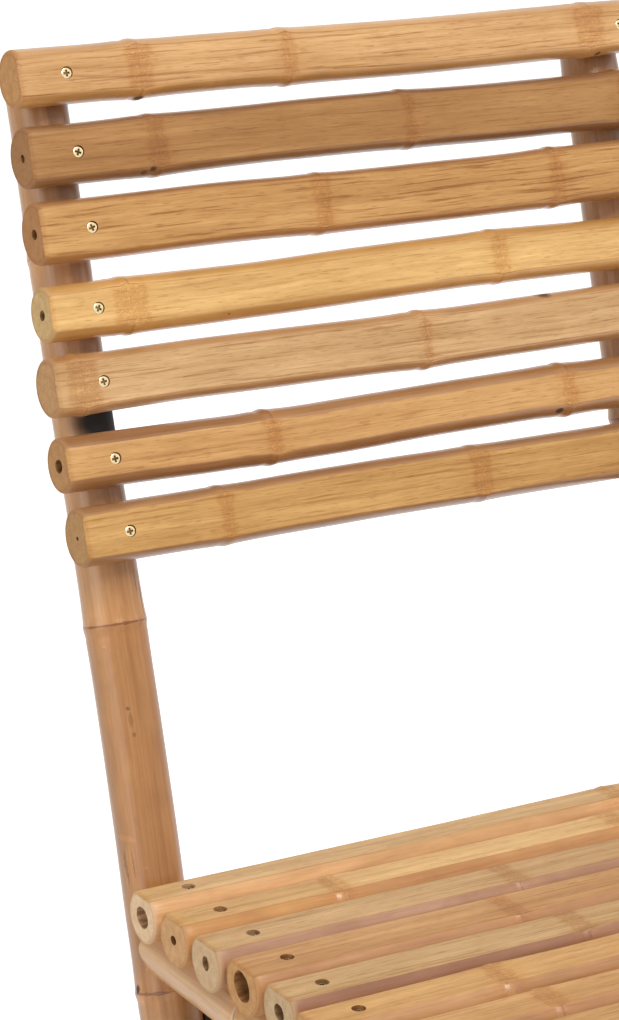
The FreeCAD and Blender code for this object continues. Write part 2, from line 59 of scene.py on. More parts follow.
# %% Places on the posts and the seat
MM = 0.001
LEAN = math.radians(16.7)
RAIL_HEIGHT = 0.375
POLE_PLANE = 0.225
HINGE_BELOW_RAIL = 0.062
joints = {joint["name"]: Vector(joint["pos_m"]) for joint in frame["joints"]}
hinge = joints["back_recline"]
front_pivot = joints["front_leg_fold"]
RAIL_Y = hinge.y + HINGE_BELOW_RAIL * math.sin(LEAN)
UP_POST = Vector((0, math.sin(LEAN), math.cos(LEAN)))
OUT_OF_POST = Vector((0, -math.cos(LEAN), math.sin(LEAN)))
ACROSS = Vector((1, 0, 0))
FORWARD = Vector((0, -1, 0))
UP = Vector((0, 0, 1))


def post_spot(x, up, out=0.0):
    """A point up the leaning post from the rail, and out from its axis towards the sitter."""
    return Vector((x, RAIL_Y, RAIL_HEIGHT)) + UP_POST * up + OUT_OF_POST * out


def seat_spot(x, forward, height):
    """A point forward of where the posts cross the rails, at a height above the floor."""
    return Vector((x, RAIL_Y - forward, height))


print("rail crossing at Y", round(RAIL_Y, 4))

# %% [markdown]
# ## The camera
# The photograph was taken from in front of the sitter's right, 30 degrees round and a little above. Screws,
# slat edges and both posts were matched by least squares to find this place and lens. A long lens from
# 2.3 m keeps the slats nearly parallel, as they are in the photograph.

# %% Camera
camera_data = bpy.data.cameras.new("camera")
camera = bpy.data.objects.new("camera", camera_data)
scene.collection.objects.link(camera)
scene.camera = camera
camera_data.lens = 116.9
camera_data.sensor_width = 36.0
camera_data.clip_end = 60.0
camera.location = seat_spot(-1.1801, 1.8425, 1.2928)
camera.rotation_euler = (math.radians(90 - 16.455), 0, math.radians(-30.187))
print("camera at", tuple(round(value, 3) for value in camera.location))

# %% [markdown]
# ## Floor and light
# Real studio shots of furniture use big soft lights and a pale sweep of paper. Here a large pale floor
# catches the object's shadow. For the camera, and for reflections, it and the world behind it are lifted to
# white by Light Path, so no extra light falls on the bamboo.

# %% Floor, world and lamps
def link(tree, source, target):
    """Joins an output socket to an input socket."""
    tree.links.new(source, target)


def add(tree, kind, **values):
    """A new shader node, with properties set by name."""
    node = tree.nodes.new(kind)
    for name, value in values.items():
        setattr(node, name, value)
    return node


def fill(tree, socket, value):
    """Gives an input socket another node's output, or a fixed value."""
    if isinstance(value, bpy.types.NodeSocket):
        link(tree, value, socket)
    else:
        socket.default_value = value


def maths(tree, operation, first, second=None):
    """A Math node whose inputs are sockets or numbers."""
    node = add(tree, "ShaderNodeMath", operation=operation)
    fill(tree, node.inputs[0], first)
    if second is not None:
        fill(tree, node.inputs[1], second)
    return node.outputs[0]


def times(tree, first, second):
    """Two values multiplied."""
    return maths(tree, "MULTIPLY", first, second)


def one_minus(tree, value):
    """1 where a value is 0, and 0 where it is 1."""
    return maths(tree, "SUBTRACT", 1.0, value)


def seen_directly(tree):
    """1 for camera, mirror and glass rays, 0 for the light that falls on things."""
    path = add(tree, "ShaderNodeLightPath")
    shiny = maths(tree, "MAXIMUM", path.outputs["Is Glossy Ray"], path.outputs["Is Transmission Ray"])
    return maths(tree, "MAXIMUM", path.outputs["Is Camera Ray"], shiny)


FLOOR_COLOUR = (0.86, 0.86, 0.85, 1)
AMBIENT = (0.36, 0.36, 0.365, 1)
bm = bmesh.new()
bmesh.ops.create_grid(bm, x_segments=1, y_segments=1, size=14.0)
floor_mesh = bpy.data.meshes.new("floor")
bm.to_mesh(floor_mesh)
bm.free()
floor = bpy.data.objects.new("floor", floor_mesh)
scene.collection.objects.link(floor)
floor_material = bpy.data.materials.new("studio_floor")
floor_material.use_nodes = True
tree = floor_material.node_tree
surface = tree.nodes["Principled BSDF"]
surface.inputs["Base Color"].default_value = FLOOR_COLOUR
surface.inputs["Roughness"].default_value = 0.9
surface.inputs["Specular IOR Level"].default_value = 0.1
surface.inputs["Emission Color"].default_value = (1, 1, 1, 1)
link(tree, times(tree, seen_directly(tree), 0.8), surface.inputs["Emission Strength"])
floor_mesh.materials.append(floor_material)

world = bpy.data.worlds.new("studio")
scene.world = world
world.use_nodes = True
tree = world.node_tree
background = tree.nodes["Background"]
tint = add(tree, "ShaderNodeMix", data_type="RGBA")
tint.inputs["A"].default_value = AMBIENT
tint.inputs["B"].default_value = (1, 1, 1, 1)
link(tree, seen_directly(tree), tint.inputs["Factor"])
link(tree, tint.outputs["Result"], background.inputs["Color"])


def lamp(name, place, aim, size, power):
    """A square area lamp that faces the point it is aimed at."""
    data = bpy.data.lights.new(name, "AREA")
    data.size = size
    data.energy = power
    thing = bpy.data.objects.new(name, data)
    scene.collection.objects.link(thing)
    thing.location = place
    thing.rotation_euler = (Vector(aim) - Vector(place)).to_track_quat("-Z", "Y").to_euler()


middle = (0, 0, 0.6)
lamp("key", (-0.4, -1.9, 3.2), middle, 1.5, 66)
lamp("side", (2.9, -0.9, 1.9), middle, 1.6, 10)
lamp("fill", (-3.0, -0.6, 1.3), middle, 2.0, 24)
print("floor, world and three lamps")

# %% [markdown]
# ## How a culm is made
# Almost every piece here is a bamboo culm: a tapering tube with a raised ring at each node, never quite
# straight, sometimes planed flat on one side. A cylinder with a bump map can't do that, because the rings
# and flats show in the outline. So a circle is extruded from station to station, closer together near a
# node, and each new ring of points is then moved to where the culm's skin is.

# %% The culm's outline
SEGMENTS = 48
FLAT_STEPS = 8
NODE_RISE = 1.0 * MM
NODE_STEPS = (-22, -15, -11, -8.5, -7, -5.5, -4, -2.5, -1.2, 0, 1.2, 2.5, 4, 6, 9, 14, 20)
PLAIN_STEP = 12 * MM
LEAST_STEP = 0.9 * MM
LEAST_END_STEP = 0.1 * MM
CLEAR_OF_CUT = 0.8 * MM
CUT_WIDTH = 0.1 * MM
LEAST_FLAT = 0.05 * MM


def bump(distance, width):
    """A smooth hump, 1 at the middle."""
    return math.exp(-(distance / width) ** 2)


def node_profile(distance):
    """How far the skin stands out near a node: a low ridge, a groove under it and a wide swelling."""
    ridge = 0.6 * bump(distance, 3.5 * MM)
    groove = 0.3 * bump(distance + 6 * MM, 2.4 * MM)
    swelling = 0.7 * bump(distance, 16 * MM)
    return ridge - groove + swelling


def stations(length, nodes, ease, cuts=(), points=()):
    """Distances along a culm where it gets a ring of points. A cut gets two rings, close together."""
    places = [0, 0.12 * ease, 0.4 * ease, ease]
    places += [length - place for place in places]
    for node in nodes:
        places += [node + step * MM for step in NODE_STEPS]
    places += [PLAIN_STEP * step for step in range(1, int(length / PLAIN_STEP))]
    places = sorted(place for place in places if 0 <= place <= length)
    kept = [places[0]]
    for place in places[1:]:
        near_end = min(place, length - place) <= ease + 1e-6
        if place - kept[-1] > (LEAST_END_STEP if near_end else LEAST_STEP):
            kept.append(place)
    fixed = tuple(cuts) + tuple(points)
    kept = [place for place in kept if all(abs(place - spot) > CLEAR_OF_CUT for spot in fixed)]
    kept += points
    for cut in cuts:
        kept += [cut - CUT_WIDTH / 2, cut + CUT_WIDTH / 2]
    return sorted(kept)


def section(around, radius, flat, soft):
    """One point of a culm's cross-section, in (sideways, outwards) from its axis, planed at a height flat."""
    step = around / SEGMENTS * math.tau
    if flat >= radius - LEAST_FLAT:
        return radius * math.sin(step), radius * math.cos(step)
    side = -1 if around < 0 else 1
    count = abs(around)
    edge = math.acos(flat / radius)
    half = math.sqrt(radius ** 2 - flat ** 2)
    start = edge + soft / radius
    if count <= FLAT_STEPS:
        return side * count / FLAT_STEPS * max(half - soft, 0), flat
    if count == FLAT_STEPS + 1:
        # the middle of a curve that rounds the corner from the flat on to the skin
        on_arc = (radius * math.sin(start), radius * math.cos(start))
        return (side * (0.25 * max(half - soft, 0) + 0.5 * half + 0.25 * on_arc[0]),
                0.75 * flat + 0.25 * on_arc[1])
    turn = start + (math.pi - start) * (count - FLAT_STEPS - 2) / (SEGMENTS / 2 - FLAT_STEPS - 2)
    return side * radius * math.sin(turn), radius * math.cos(turn)


print("a culm ring has", SEGMENTS, "points")

# %% [markdown]
# ## Drilling for a screw head
# The slats are drilled before the screws go in. The hole is opened in the flat, its edge is drawn on to a
# true circle, and a wall and a floor are extruded from it, so the screw really sits in wood.

# %% Drilling a screw hole
PLANED, SKIN, SAWN, HOLLOW = range(4)
HOLE_MARGIN = 2.2 * MM


def fill_loop(bm, loop, slot_number):
    """Closes a ring of edges with a face, in a material."""
    before = set(bm.faces)
    bmesh.ops.holes_fill(bm, edges=loop, sides=0)
    for face in set(bm.faces) - before:
        face.material_index = slot_number


def grow(bm, edges):
    """Extrudes a ring of edges and gives back the new ring and its points."""
    made = bmesh.ops.extrude_edge_only(bm, edges=edges)["geom"]
    ring = [part for part in made if isinstance(part, bmesh.types.BMVert)]
    edges = [part for part in made if isinstance(part, bmesh.types.BMEdge) and part.is_boundary]
    return edges, ring


def drill(bm, centre, axes, hole, layers, settle):
    """Opens a round hole with a floor in a culm's flat, for a screw head to sit in."""
    sideways, axis, outwards = axes
    place, radius, deep = hole
    around_layer, grain, offset = layers
    reach = radius + HOLE_MARGIN
    doomed = []
    for face in bm.faces:
        spots = [vert[grain] - offset for vert in face.verts]
        if all(abs(spot.x - place) <= reach and abs(spot.y) <= reach + 1.2 * MM for spot in spots):
            if all(abs(vert[around_layer]) <= FLAT_STEPS for vert in face.verts):
                doomed.append(face)
    bmesh.ops.delete(bm, geom=doomed, context="FACES")
    loop = [edge for edge in bm.edges if edge.is_boundary
            and all((vert.co - centre).length < 2.2 * reach for vert in edge.verts)]
    out = loop[0].verts[0][grain].z - offset.z
    for size, drop in ((1.0, 0.0), (1.0, deep), (0.5, deep)):
        before = set(bm.faces)
        loop, ring = grow(bm, loop)
        for vert in ring:
            gap = vert.co - centre
            gap = (gap - outwards * gap.dot(outwards)).normalized() * radius * size
            settle(vert, place + gap.dot(axis), gap.dot(sideways), out - drop)
        for face in set(bm.faces) - before:
            face.material_index = HOLLOW if drop else PLANED
    fill_loop(bm, loop, HOLLOW)


# %% [markdown]
# ## Growing the tube
# The whole culm comes from one ring of 48 points, extruded along the pole. Only afterwards is each point
# moved to the true skin. A seed gives the small faults of a grown thing, a trim function stands for the
# carpenter's plane, and a cope function for the shaped cut at an end. The end rings are then drawn inwards
# to close the sawn ends, with a natural hollow where the photograph shows one. No seam is left open.
# Each point also notes where it is in the culm, for the materials to read.

# %% The culm builder
HELD_STRAIGHT = 46 * MM
KINK_REACH = 90 * MM
COPE_REACH = 45 * MM
USUAL_BAND = 5.5 * MM
FAR_OFF = 0.2
SHARP_ANGLE = math.radians(52)
WANDER_PER_METRE = 14
HOLE_RINGS = (-1, -0.7, -0.42, -0.14, 0.14, 0.42, 0.7, 1)
NOTES = ("from_node", "tone", "past_band", "from_end", "corner", "rim")


def culm(name, start, end, face, diameters, nodes, seed, flat=None, bow=0.0, bore=(0.0, 0.0), ease=1.6 * MM,
         soft=1.4 * MM, trim=None, cuts=(), cope=(None, None), wander=0.25 * MM, depth=18 * MM, holes=(),
         tones=None, bands=None):
    """A mesh of a bamboo culm. bore and cope are for its start and its end, holes are drilled in its flat."""
    start, end = Vector(start), Vector(end)
    axis = (end - start).normalized()
    length = (end - start).length
    outwards = (Vector(face) - axis * axis.dot(Vector(face))).normalized()
    sideways = outwards.cross(axis)
    chance = random.Random(seed)
    phase = [chance.uniform(0, 40) for _ in range(6)]
    kinks = [(node, chance.uniform(-1, 1)) for node in nodes]
    random_tones = [chance.uniform(-0.6, 0) for _ in range(len(nodes) + 1)]
    tones = tones or random_tones
    bands = bands or [USUAL_BAND] * len(nodes)

    def radius_at(along, turn):
        """The culm's radius at a place along it and round it."""
        radius = (diameters[0] + (diameters[1] - diameters[0]) * along / length) / 2
        spot = Vector((along * WANDER_PER_METRE + phase[0],
                       math.sin(turn) * 0.8, math.cos(turn) * 0.8 + phase[1]))
        radius += wander * noise.noise(spot) * 2
        for number, node in enumerate(nodes):
            lift = 1 + 0.25 * math.sin(turn * 2 + phase[2] + number)
            tilt = 1.4 * MM * math.sin(turn + phase[3] + number)
            radius += NODE_RISE * lift * node_profile(along - node + tilt)
        return radius

    def bowed(along):
        """How far the culm strays sideways from its straight line, between its held ends."""
        share = (along - HELD_STRAIGHT) / (length - 2 * HELD_STRAIGHT)
        free = max(math.sin(math.pi * min(max(share, 0), 1)), 0)
        shift = bow * free * math.sin(along * 9 + phase[4])
        for node, kink in kinks:
            shift += kink * bow * 0.6 * bump(along - node, KINK_REACH) * free
        return shift

    bm = bmesh.new()
    around_layer = bm.verts.layers.int.new("around")
    grain = bm.verts.layers.float_vector.new("grain")
    from_node, tone, past_band, from_end, corner, rim = (bm.verts.layers.float.new(note) for note in NOTES)
    ring = bmesh.ops.create_circle(bm, cap_ends=False, segments=SEGMENTS, radius=1.0)["verts"]
    for vert in ring:
        vert[around_layer] = round(math.atan2(vert.co.x, vert.co.y) / math.tau * SEGMENTS)
    edges = list(bm.edges)
    rings = [(0.0, ring)]
    loops = [edges]
    around_holes = [place + share * (radius + 2 * MM) for place, radius, _ in holes for share in HOLE_RINGS]
    for along in stations(length, nodes, ease, cuts, around_holes)[1:]:
        edges, ring = grow(bm, edges)
        rings.append((along, ring))
    loops.append(edges)

    offset = Vector((phase[5] * 0.31, phase[0] * 0.013, phase[1] * 0.017))

    def settle(vert, along, side, out):
        """Puts a point at its place and notes where that is in the culm."""
        shift = bowed(along)
        vert.co = start + axis * along + outwards * out + sideways * (side + shift)
        vert[grain] = Vector((along, side, out)) + offset
        vert[from_node] = min([abs(along - node) for node in nodes] + [FAR_OFF])
        vert[past_band] = min([abs(along - node) - half for node, half in zip(nodes, bands)] + [FAR_OFF])
        vert[from_end] = max(min(along, length - along), 0)
        number = sum(1 for node in nodes if along > node)
        vert[tone] = tones[number]

    def shaped(along, around):
        """Sideways and outwards places of a point of the skin."""
        turn = around / SEGMENTS * math.tau
        radius = radius_at(along, turn)
        side, out = section(around, radius, 1.0 if flat is None else flat, soft)
        edge = length - along if cope[0] else min(along, length - along)
        if edge < ease:
            inset = ease - math.sqrt(max(ease ** 2 - (ease - edge) ** 2, 0))
            side, out = side * (1 - inset / radius), out * (1 - inset / radius)
        if trim:
            side, out = trim(side, out, along)
        return side, out

    def coped(along, side, out):
        """The distance along, pushed in where an end is cut to fit round something."""
        for cut, reach, sign in ((cope[0], along, 1), (cope[1], length - along, -1)):
            if cut and reach < COPE_REACH:
                along += sign * cut(side, out) * (1 - reach / COPE_REACH)
        return along

    for along, ring in rings:
        for vert in ring:
            side, out = shaped(along, vert[around_layer])
            settle(vert, coped(along, side, out), side, out)
            vert[corner] = 1.0 if flat is not None and abs(vert[around_layer]) == FLAT_STEPS + 1 else 0.0
            vert[rim] = 1.0

    for face_made in bm.faces:
        in_flat = all(abs(vert[around_layer]) <= FLAT_STEPS + 1 for vert in face_made.verts)
        face_made.material_index = PLANED if flat is not None and in_flat else SKIN
    for place, radius, deep in holes:
        centre = start + axis * place + outwards * flat + sideways * bowed(place)
        drill(bm, centre, (sideways, axis, outwards), (place, radius, deep),
              (around_layer, grain, offset), settle)
    for at_end, loop in enumerate(loops):
        along = length * at_end
        inward = -1 if at_end else 1
        inside = bore[at_end] / 2
        steps = [(0.82, 0.0), (0.5, 0.0), (0.12, 0.0)]
        if inside > 0:
            steps = [(0.9, 0.0), (inside, 0.0), (inside * 0.96, 0.5 * MM), (inside * 0.93, 6 * MM)]
            steps.append((inside * 0.8, depth))
        ragged = chance.uniform(0, 9)
        outline = {vert[around_layer]: vert for edge in loop for vert in edge.verts}
        rims = {key: shaped(along, key) for key in outline}
        for number, (reach, deep) in enumerate(steps):
            before = set(bm.faces)
            loop, ring = grow(bm, loop)
            for vert in ring:
                side, out = rims[vert[around_layer]]
                if inside > 0 and number > 0:
                    turn = math.atan2(side, out)
                    rough = 1 + 0.07 * math.sin(turn * 2 + ragged) + 0.015 * math.sin(turn * 5 + ragged * 2)
                    side, out = reach * rough * math.sin(turn), reach * rough * math.cos(turn)
                else:
                    side, out = side * reach, out * reach
                settle(vert, coped(along, side, out) + inward * deep, side, out)
                vert[corner] = 0.0
                vert[rim] = 0.3 if number == 0 else 0.0
            for face_made in set(bm.faces) - before:
                face_made.material_index = HOLLOW if inside > 0 and number > 1 else SAWN
        fill_loop(bm, loop, HOLLOW if inside > 0 else SAWN)
    bmesh.ops.recalc_face_normals(bm, faces=bm.faces)
    for face_made in bm.faces:
        face_made.smooth = True
    mesh = bpy.data.meshes.new(name)
    bm.to_mesh(mesh)
    bm.free()
    mesh.set_sharp_from_angle(angle=SHARP_ANGLE)
    thing = bpy.data.objects.new(name, mesh)
    scene.collection.objects.link(thing)
    return thing


print("culm builder ready")

# %% [markdown]
# ## Grain and nodes in the material
# Planed bamboo shows straw-fine fibres along the culm, broad paler and darker streaks, and at each node a
# band where the fibres swirl. Both effects are used by several finishes, so each is a node group, built
# once. They read the grain attribute, which follows a culm however it leans or bends.

# %% Shader helpers
def group(name, inputs, outputs):
    """An empty node group with float or vector inputs and outputs."""
    tree = bpy.data.node_groups.new(name, "ShaderNodeTree")
    for socket, kind, value in inputs:
        made = tree.interface.new_socket(socket, in_out="INPUT", socket_type=kind)
        if value is not None:
            made.default_value = value
    for socket, kind in outputs:
        tree.interface.new_socket(socket, in_out="OUTPUT", socket_type=kind)
    return tree, add(tree, "NodeGroupInput").outputs, add(tree, "NodeGroupOutput").inputs


def vector_maths(tree, operation, first, second):
    """A Vector Math node whose inputs are sockets or vectors."""
    node = add(tree, "ShaderNodeVectorMath", operation=operation)
    fill(tree, node.inputs[0], first)
    fill(tree, node.inputs[1], second)
    return node.outputs["Vector"]


def stretched(tree, vector, scale):
    """A vector scaled along, across and out of the grain."""
    mapping = add(tree, "ShaderNodeMapping")
    mapping.inputs["Scale"].default_value = scale
    link(tree, vector, mapping.inputs["Vector"])
    return mapping.outputs["Vector"]


def noise_at(tree, vector, scale, detail=2.0, rough=0.5, distortion=0.0):
    """Noise that varies so many times a metre along, across and out of the grain."""
    texture = add(tree, "ShaderNodeTexNoise")
    texture.inputs["Scale"].default_value = 1.0
    texture.inputs["Detail"].default_value = detail
    texture.inputs["Roughness"].default_value = rough
    texture.inputs["Distortion"].default_value = distortion
    link(tree, stretched(tree, vector, scale), texture.inputs["Vector"])
    return texture.outputs["Fac"]


def swayed(tree, vector, per_metre, reach):
    """A vector moved about in slow waves, by half of reach at most."""
    texture = add(tree, "ShaderNodeTexNoise")
    texture.inputs["Scale"].default_value = 1.0
    texture.inputs["Detail"].default_value = 2.0
    link(tree, stretched(tree, vector, per_metre), texture.inputs["Vector"])
    centred = vector_maths(tree, "SUBTRACT", texture.outputs["Color"], (0.5, 0.5, 0.5))
    return vector_maths(tree, "ADD", vector, vector_maths(tree, "MULTIPLY", centred, reach))


def ramp(tree, value, low, high, smooth=True):
    """0 below low, 1 above high."""
    node = add(tree, "ShaderNodeMapRange", interpolation_type="SMOOTHSTEP" if smooth else "LINEAR")
    node.inputs["From Min"].default_value = low
    node.inputs["From Max"].default_value = high
    link(tree, value, node.inputs["Value"])
    return node.outputs["Result"]


def blend(tree, factor, first, second, mode="MIX"):
    """A colour mix whose inputs are sockets or colours."""
    node = add(tree, "ShaderNodeMix", data_type="RGBA", blend_type=mode)
    for name, value in (("Factor", factor), ("A", first), ("B", second)):
        fill(tree, node.inputs[name], value)
    return node.outputs["Result"]


VECTOR, FLOAT = "NodeSocketVector", "NodeSocketFloat"

# %% [markdown]
# ## Fibres
# A planed face cuts through thousands of straight fibres. Noise stretched some twenty times along the grain
# gives the same look at several widths: fine fibres, dark hairs, pale hairs, broad streaks and short dashes.
# A very slow sway bends them a little, since a culm never grows dead straight.

# %% The fibre group
FIBRE_SWAY = (16, 22, 22)
FIBRE_REACH = (0.0, 0.0028, 0.002)
fibre_group, given, wanted = group(
    "bamboo_fibres", [("Grain", VECTOR, None)],
    [(name, FLOAT) for name in ("Fine", "Lines", "Pale", "Streak", "Mottle", "Dash", "Zone")])
wavy = swayed(fibre_group, given["Grain"], FIBRE_SWAY, FIBRE_REACH)
hairs = noise_at(fibre_group, wavy, (13, 520, 520), 3, 0.62)
dashes = noise_at(fibre_group, wavy, (95, 900, 900), 1, 0.5)
for name, value in (
        ("Fine", noise_at(fibre_group, wavy, (60, 1250, 1250), 2, 0.6)),
        ("Lines", ramp(fibre_group, hairs, 0.53, 0.68)),
        ("Pale", one_minus(fibre_group, ramp(fibre_group, hairs, 0.33, 0.46))),
        ("Streak", noise_at(fibre_group, wavy, (6, 170, 170), 3, 0.6)),
        ("Mottle", noise_at(fibre_group, given["Grain"], (24, 60, 60), 3, 0.55, 0.6)),
        ("Dash", ramp(fibre_group, dashes, 0.60, 0.72)),
        ("Zone", noise_at(fibre_group, given["Grain"], (3.5, 42, 42), 2, 0.5, 0.3))):
    link(fibre_group, value, wanted[name])
print("fibre group:", len(fibre_group.nodes), "nodes")

# %% [markdown]
# ## The band at a node
# Inside a node the fibres turn and cross, so the planed face shows a mottled band there, browner than the
# rest and ragged at its edges. On the round skin the same place shows a thin dark scar. The group gives
# both, and lets each finish choose how strongly to use them.

# %% The node band group
def ragged(tree, value, grain, per_metre, detail, reach, rough=0.5):
    """A distance that wanders by half of reach at most, so that what it bounds gets a ragged edge."""
    wander = maths(tree, "SUBTRACT", noise_at(tree, grain, per_metre, detail, rough), 0.5)
    return maths(tree, "ADD", value, times(tree, wander, reach))


band_group, given, wanted = group(
    "node_bands", [("Grain", VECTOR, None), ("From node", FLOAT, 0.2), ("Past band", FLOAT, 0.2)],
    [(name, FLOAT) for name in ("Band", "Halo", "Line", "Swirl", "Whorl")])
grain = given["Grain"]
past_band = ragged(band_group, given["Past band"], grain, (9, 170, 170), 4, 0.013, 0.65)
scar = maths(band_group, "ABSOLUTE", ragged(band_group, given["From node"], grain, (2, 110, 110), 3, 0.004))
swirl = noise_at(band_group, grain, (300, 420, 420), 3, 0.6, 2.2)
contour = maths(band_group, "ABSOLUTE", maths(band_group, "SUBTRACT", swirl, 0.5))
link(band_group, swirl, wanted["Swirl"])
for name, value, low, high in (("Band", past_band, -0.0025, 0.0020), ("Halo", past_band, 0.0, 0.014),
                               ("Line", scar, 0.0002, 0.0010), ("Whorl", contour, 0.008, 0.05)):
    link(band_group, one_minus(band_group, ramp(band_group, value, low, high)), wanted[name])
print("node band group:", len(band_group.nodes), "nodes")

# %% [markdown]
# ## Knots, cracks and scars
# Bamboo is marked where buds and branches grew. Each mark is a small ellipsoid at a real place on the object:
# where the surface passes through it, the finish turns dark, or pale where the sheath has flaked off. The
# marks belong to the whole object, so the group reads Object coordinates and both finishes share it.

# %% The marks group
# across, up the post, out, half sizes across, up and out, depth of colour
BACK_MARKS = [
    (-168.8, 567.0, 37.5, 3.4, 2.2, 8, 0.9), (-112.6, 571.7, 45.4, 3.6, 0.5, 3, 0.5),
    (-100.0, 573.0, 45.0, 1.2, 0.7, 3, 0.5), (-169.8, 518.0, 45.5, 3.0, 2.0, 6, 1.0),
    (-176.1, 516.1, 44.4, 2.6, 1.9, 6, 0.7), (-84.9, 440.5, 45.9, 1.2, 1.0, 3, 0.6),
    (-128.0, 415.3, 44.4, 1.6, 1.0, 4, 0.7), (128.0, 398.4, 41.0, 8.0, 1.6, 6, 0.9),
    (160.0, 396.9, 43.5, 34.0, 0.55, 5, 0.9), (125.5, 316.2, 44.4, 3.4, 2.4, 7, 1.0),
    (-208.6, 278.6, 45.9, 1.1, 1.1, 3, 1.0), (205.0, 567.5, 40.0, 2.2, 1.8, 7, 0.9),
    (222.0, 516.0, 42.0, 3.4, 1.8, 7, 0.9), (-232.9, 161.7, 19.3, 1.3, 1.3, 4, 0.6),
    (-232.0, 154.0, 19.6, 1.4, 5.0, 4, 0.35), (-231.5, 143.8, 19.8, 1.2, 1.6, 4, 0.5),
    (-244.9, 55.0, 5.9, 0.35, 17.0, 6, 0.4), (-242.3, 57.0, 10.3, 0.3, 12.0, 6, 0.35),
    (-246.3, -28.2, 0.5, 3.0, 3.4, 2.6, 1.0), (-209.0, 234.0, 14.0, 0.5, 22.0, 7, 0.7),
    (-213.0, 246.0, 17.0, 0.35, 20.0, 7, 0.5),
]
PALE_MARKS = [
    (-243.2, 74.8, 8.0, 6.0, 2.2, 8, 0.8), (-243.6, 55.0, 8.2, 1.2, 18.0, 6, 0.5),
    (-245.7, -30.6, 2.3, 5.0, 9.5, 5.5, 0.6), (-236.2, 54.0, 17.5, 1.3, 1.3, 3, 0.7),
    (-245.3, 25.1, -4.6, 2, 1.3, 1.3, 0.7), (-244.7, 11.3, 6.7, 2, 1.3, 1.3, 0.7),
    (-242.7, -14.1, 11.0, 2, 1.4, 1.4, 0.7), (-241.0, 205.0, 13.0, 1.4, 1.2, 3, 0.7),
    (-230.5, 113.0, 20.0, 1.3, 1.3, 3, 0.5),
]
# a black patch on the right post between the fifth and sixth back slats
BLACK_PATCH = (-209.0, 355.0, 22.0, 33.0, 16.0, 33, 1.0)


def mark_mask(tree, position, marks):
    """The strongest of some marks at a point, 0 where there is none."""
    strongest = None
    for across, up, out, wide, tall, deep, strength in marks:
        away = vector_maths(tree, "SUBTRACT", position, post_spot(across * MM, up * MM, out * MM))
        scaled = vector_maths(tree, "MULTIPLY", away, (1 / (wide * MM), 1 / (deep * MM), 1 / (tall * MM)))
        length = add(tree, "ShaderNodeVectorMath", operation="LENGTH")
        link(tree, scaled, length.inputs[0])
        inside = add(tree, "ShaderNodeMapRange", interpolation_type="SMOOTHSTEP")
        for name, value in (("From Min", 1.25), ("From Max", 0.7), ("To Min", 0.0), ("To Max", strength)):
            inside.inputs[name].default_value = value
        link(tree, length.outputs["Value"], inside.inputs["Value"])
        mask = inside.outputs["Result"]
        strongest = mask if strongest is None else maths(tree, "MAXIMUM", strongest, mask)
    return strongest


MARK_SHAKE = (420, 420, 420)
MARK_REACH = (0.0012, 0.0012, 0.0012)
mark_group, given, wanted = group("bamboo_marks", [("Position", VECTOR, None)],
                                  [(name, FLOAT) for name in ("Dark", "Pale", "Black_patch")])
moved = swayed(mark_group, given["Position"], MARK_SHAKE, MARK_REACH)
for name, places in (("Dark", BACK_MARKS), ("Pale", PALE_MARKS), ("Black_patch", [BLACK_PATCH])):
    link(mark_group, mark_mask(mark_group, moved, places), wanted[name])
print("marks:", len(BACK_MARKS) + len(PALE_MARKS) + 1)

# %% [markdown]
# ## Bamboo finishes
# A culm has four surfaces. The planed face is matt straw, the skin is smoother and redder with a dark scar
# round each node, the sawn end is pale with a pore dot for every fibre, and the hollow inside is brown, painted
# darker for the shade that falls inside it. The tints are attributes too, so seventeen slats that all differ
# can share one set of materials.

# %% Material helpers
def finish(name, roughness, specular=0.5):
    """A material, its tree and its Principled node."""
    material = bpy.data.materials.new(name)
    material.use_nodes = True
    surface = material.node_tree.nodes["Principled BSDF"]
    surface.inputs["Roughness"].default_value = roughness
    surface.inputs["Specular IOR Level"].default_value = specular
    return material, material.node_tree, surface


def attribute(tree, name, output="Fac"):
    """A value that rides on the mesh."""
    return add(tree, "ShaderNodeAttribute", attribute_name=name).outputs[output]


def use(tree, made, **sources):
    """Places a node group and joins its inputs."""
    node = add(tree, "ShaderNodeGroup", node_tree=made)
    for name, source in sources.items():
        fill(tree, node.inputs[name.replace("_", " ")], source)
    return node.outputs


def bumped(tree, surface, height, strength, distance):
    """Gives a surface a bump."""
    node = add(tree, "ShaderNodeBump")
    node.inputs["Strength"].default_value = strength
    node.inputs["Distance"].default_value = distance
    link(tree, height, node.inputs["Height"])
    link(tree, node.outputs["Normal"], surface.inputs["Normal"])


def shade(tree, colour, amount, low, high):
    """Multiplies a colour by a warm tone: darker is also browner, as it is in bamboo."""
    dark = (low, low ** 1.5, low ** 2.3, 1)
    light = (high, high ** 1.15, high ** 1.3, 1)
    return blend(tree, 1.0, colour, blend(tree, amount, dark, light), "MULTIPLY")


def varied(tree, colour, sources):
    """Shades a colour by several noises, each from a low tone to a high one."""
    for value, low, high in sources:
        colour = shade(tree, colour, ramp(tree, value, 0.3, 0.7, False), low, high)
    return colour


def tone_by(tree, factor, colour, tone, strength=1.0):
    """Multiplies a colour by a tone where a factor says so."""
    if strength != 1.0:
        factor = times(tree, factor, strength)
    return blend(tree, factor, colour, blend(tree, 1.0, colour, tone, "MULTIPLY"))


def grown(tree):
    """The grain, and the fibre and band groups fed from what a culm's points note."""
    grain = attribute(tree, "grain", "Vector")
    fibre = use(tree, fibre_group, Grain=grain)
    node = use(tree, band_group, Grain=grain, From_node=attribute(tree, "from_node"),
               Past_band=attribute(tree, "past_band"))
    return grain, fibre, node


DARK_FIBRE = (0.62, 0.46, 0.32, 1)
KNOT = (0.070, 0.028, 0.010, 1)
PATCH_BLACK = (0.012, 0.009, 0.008, 1)
UNPLANED = 0.01


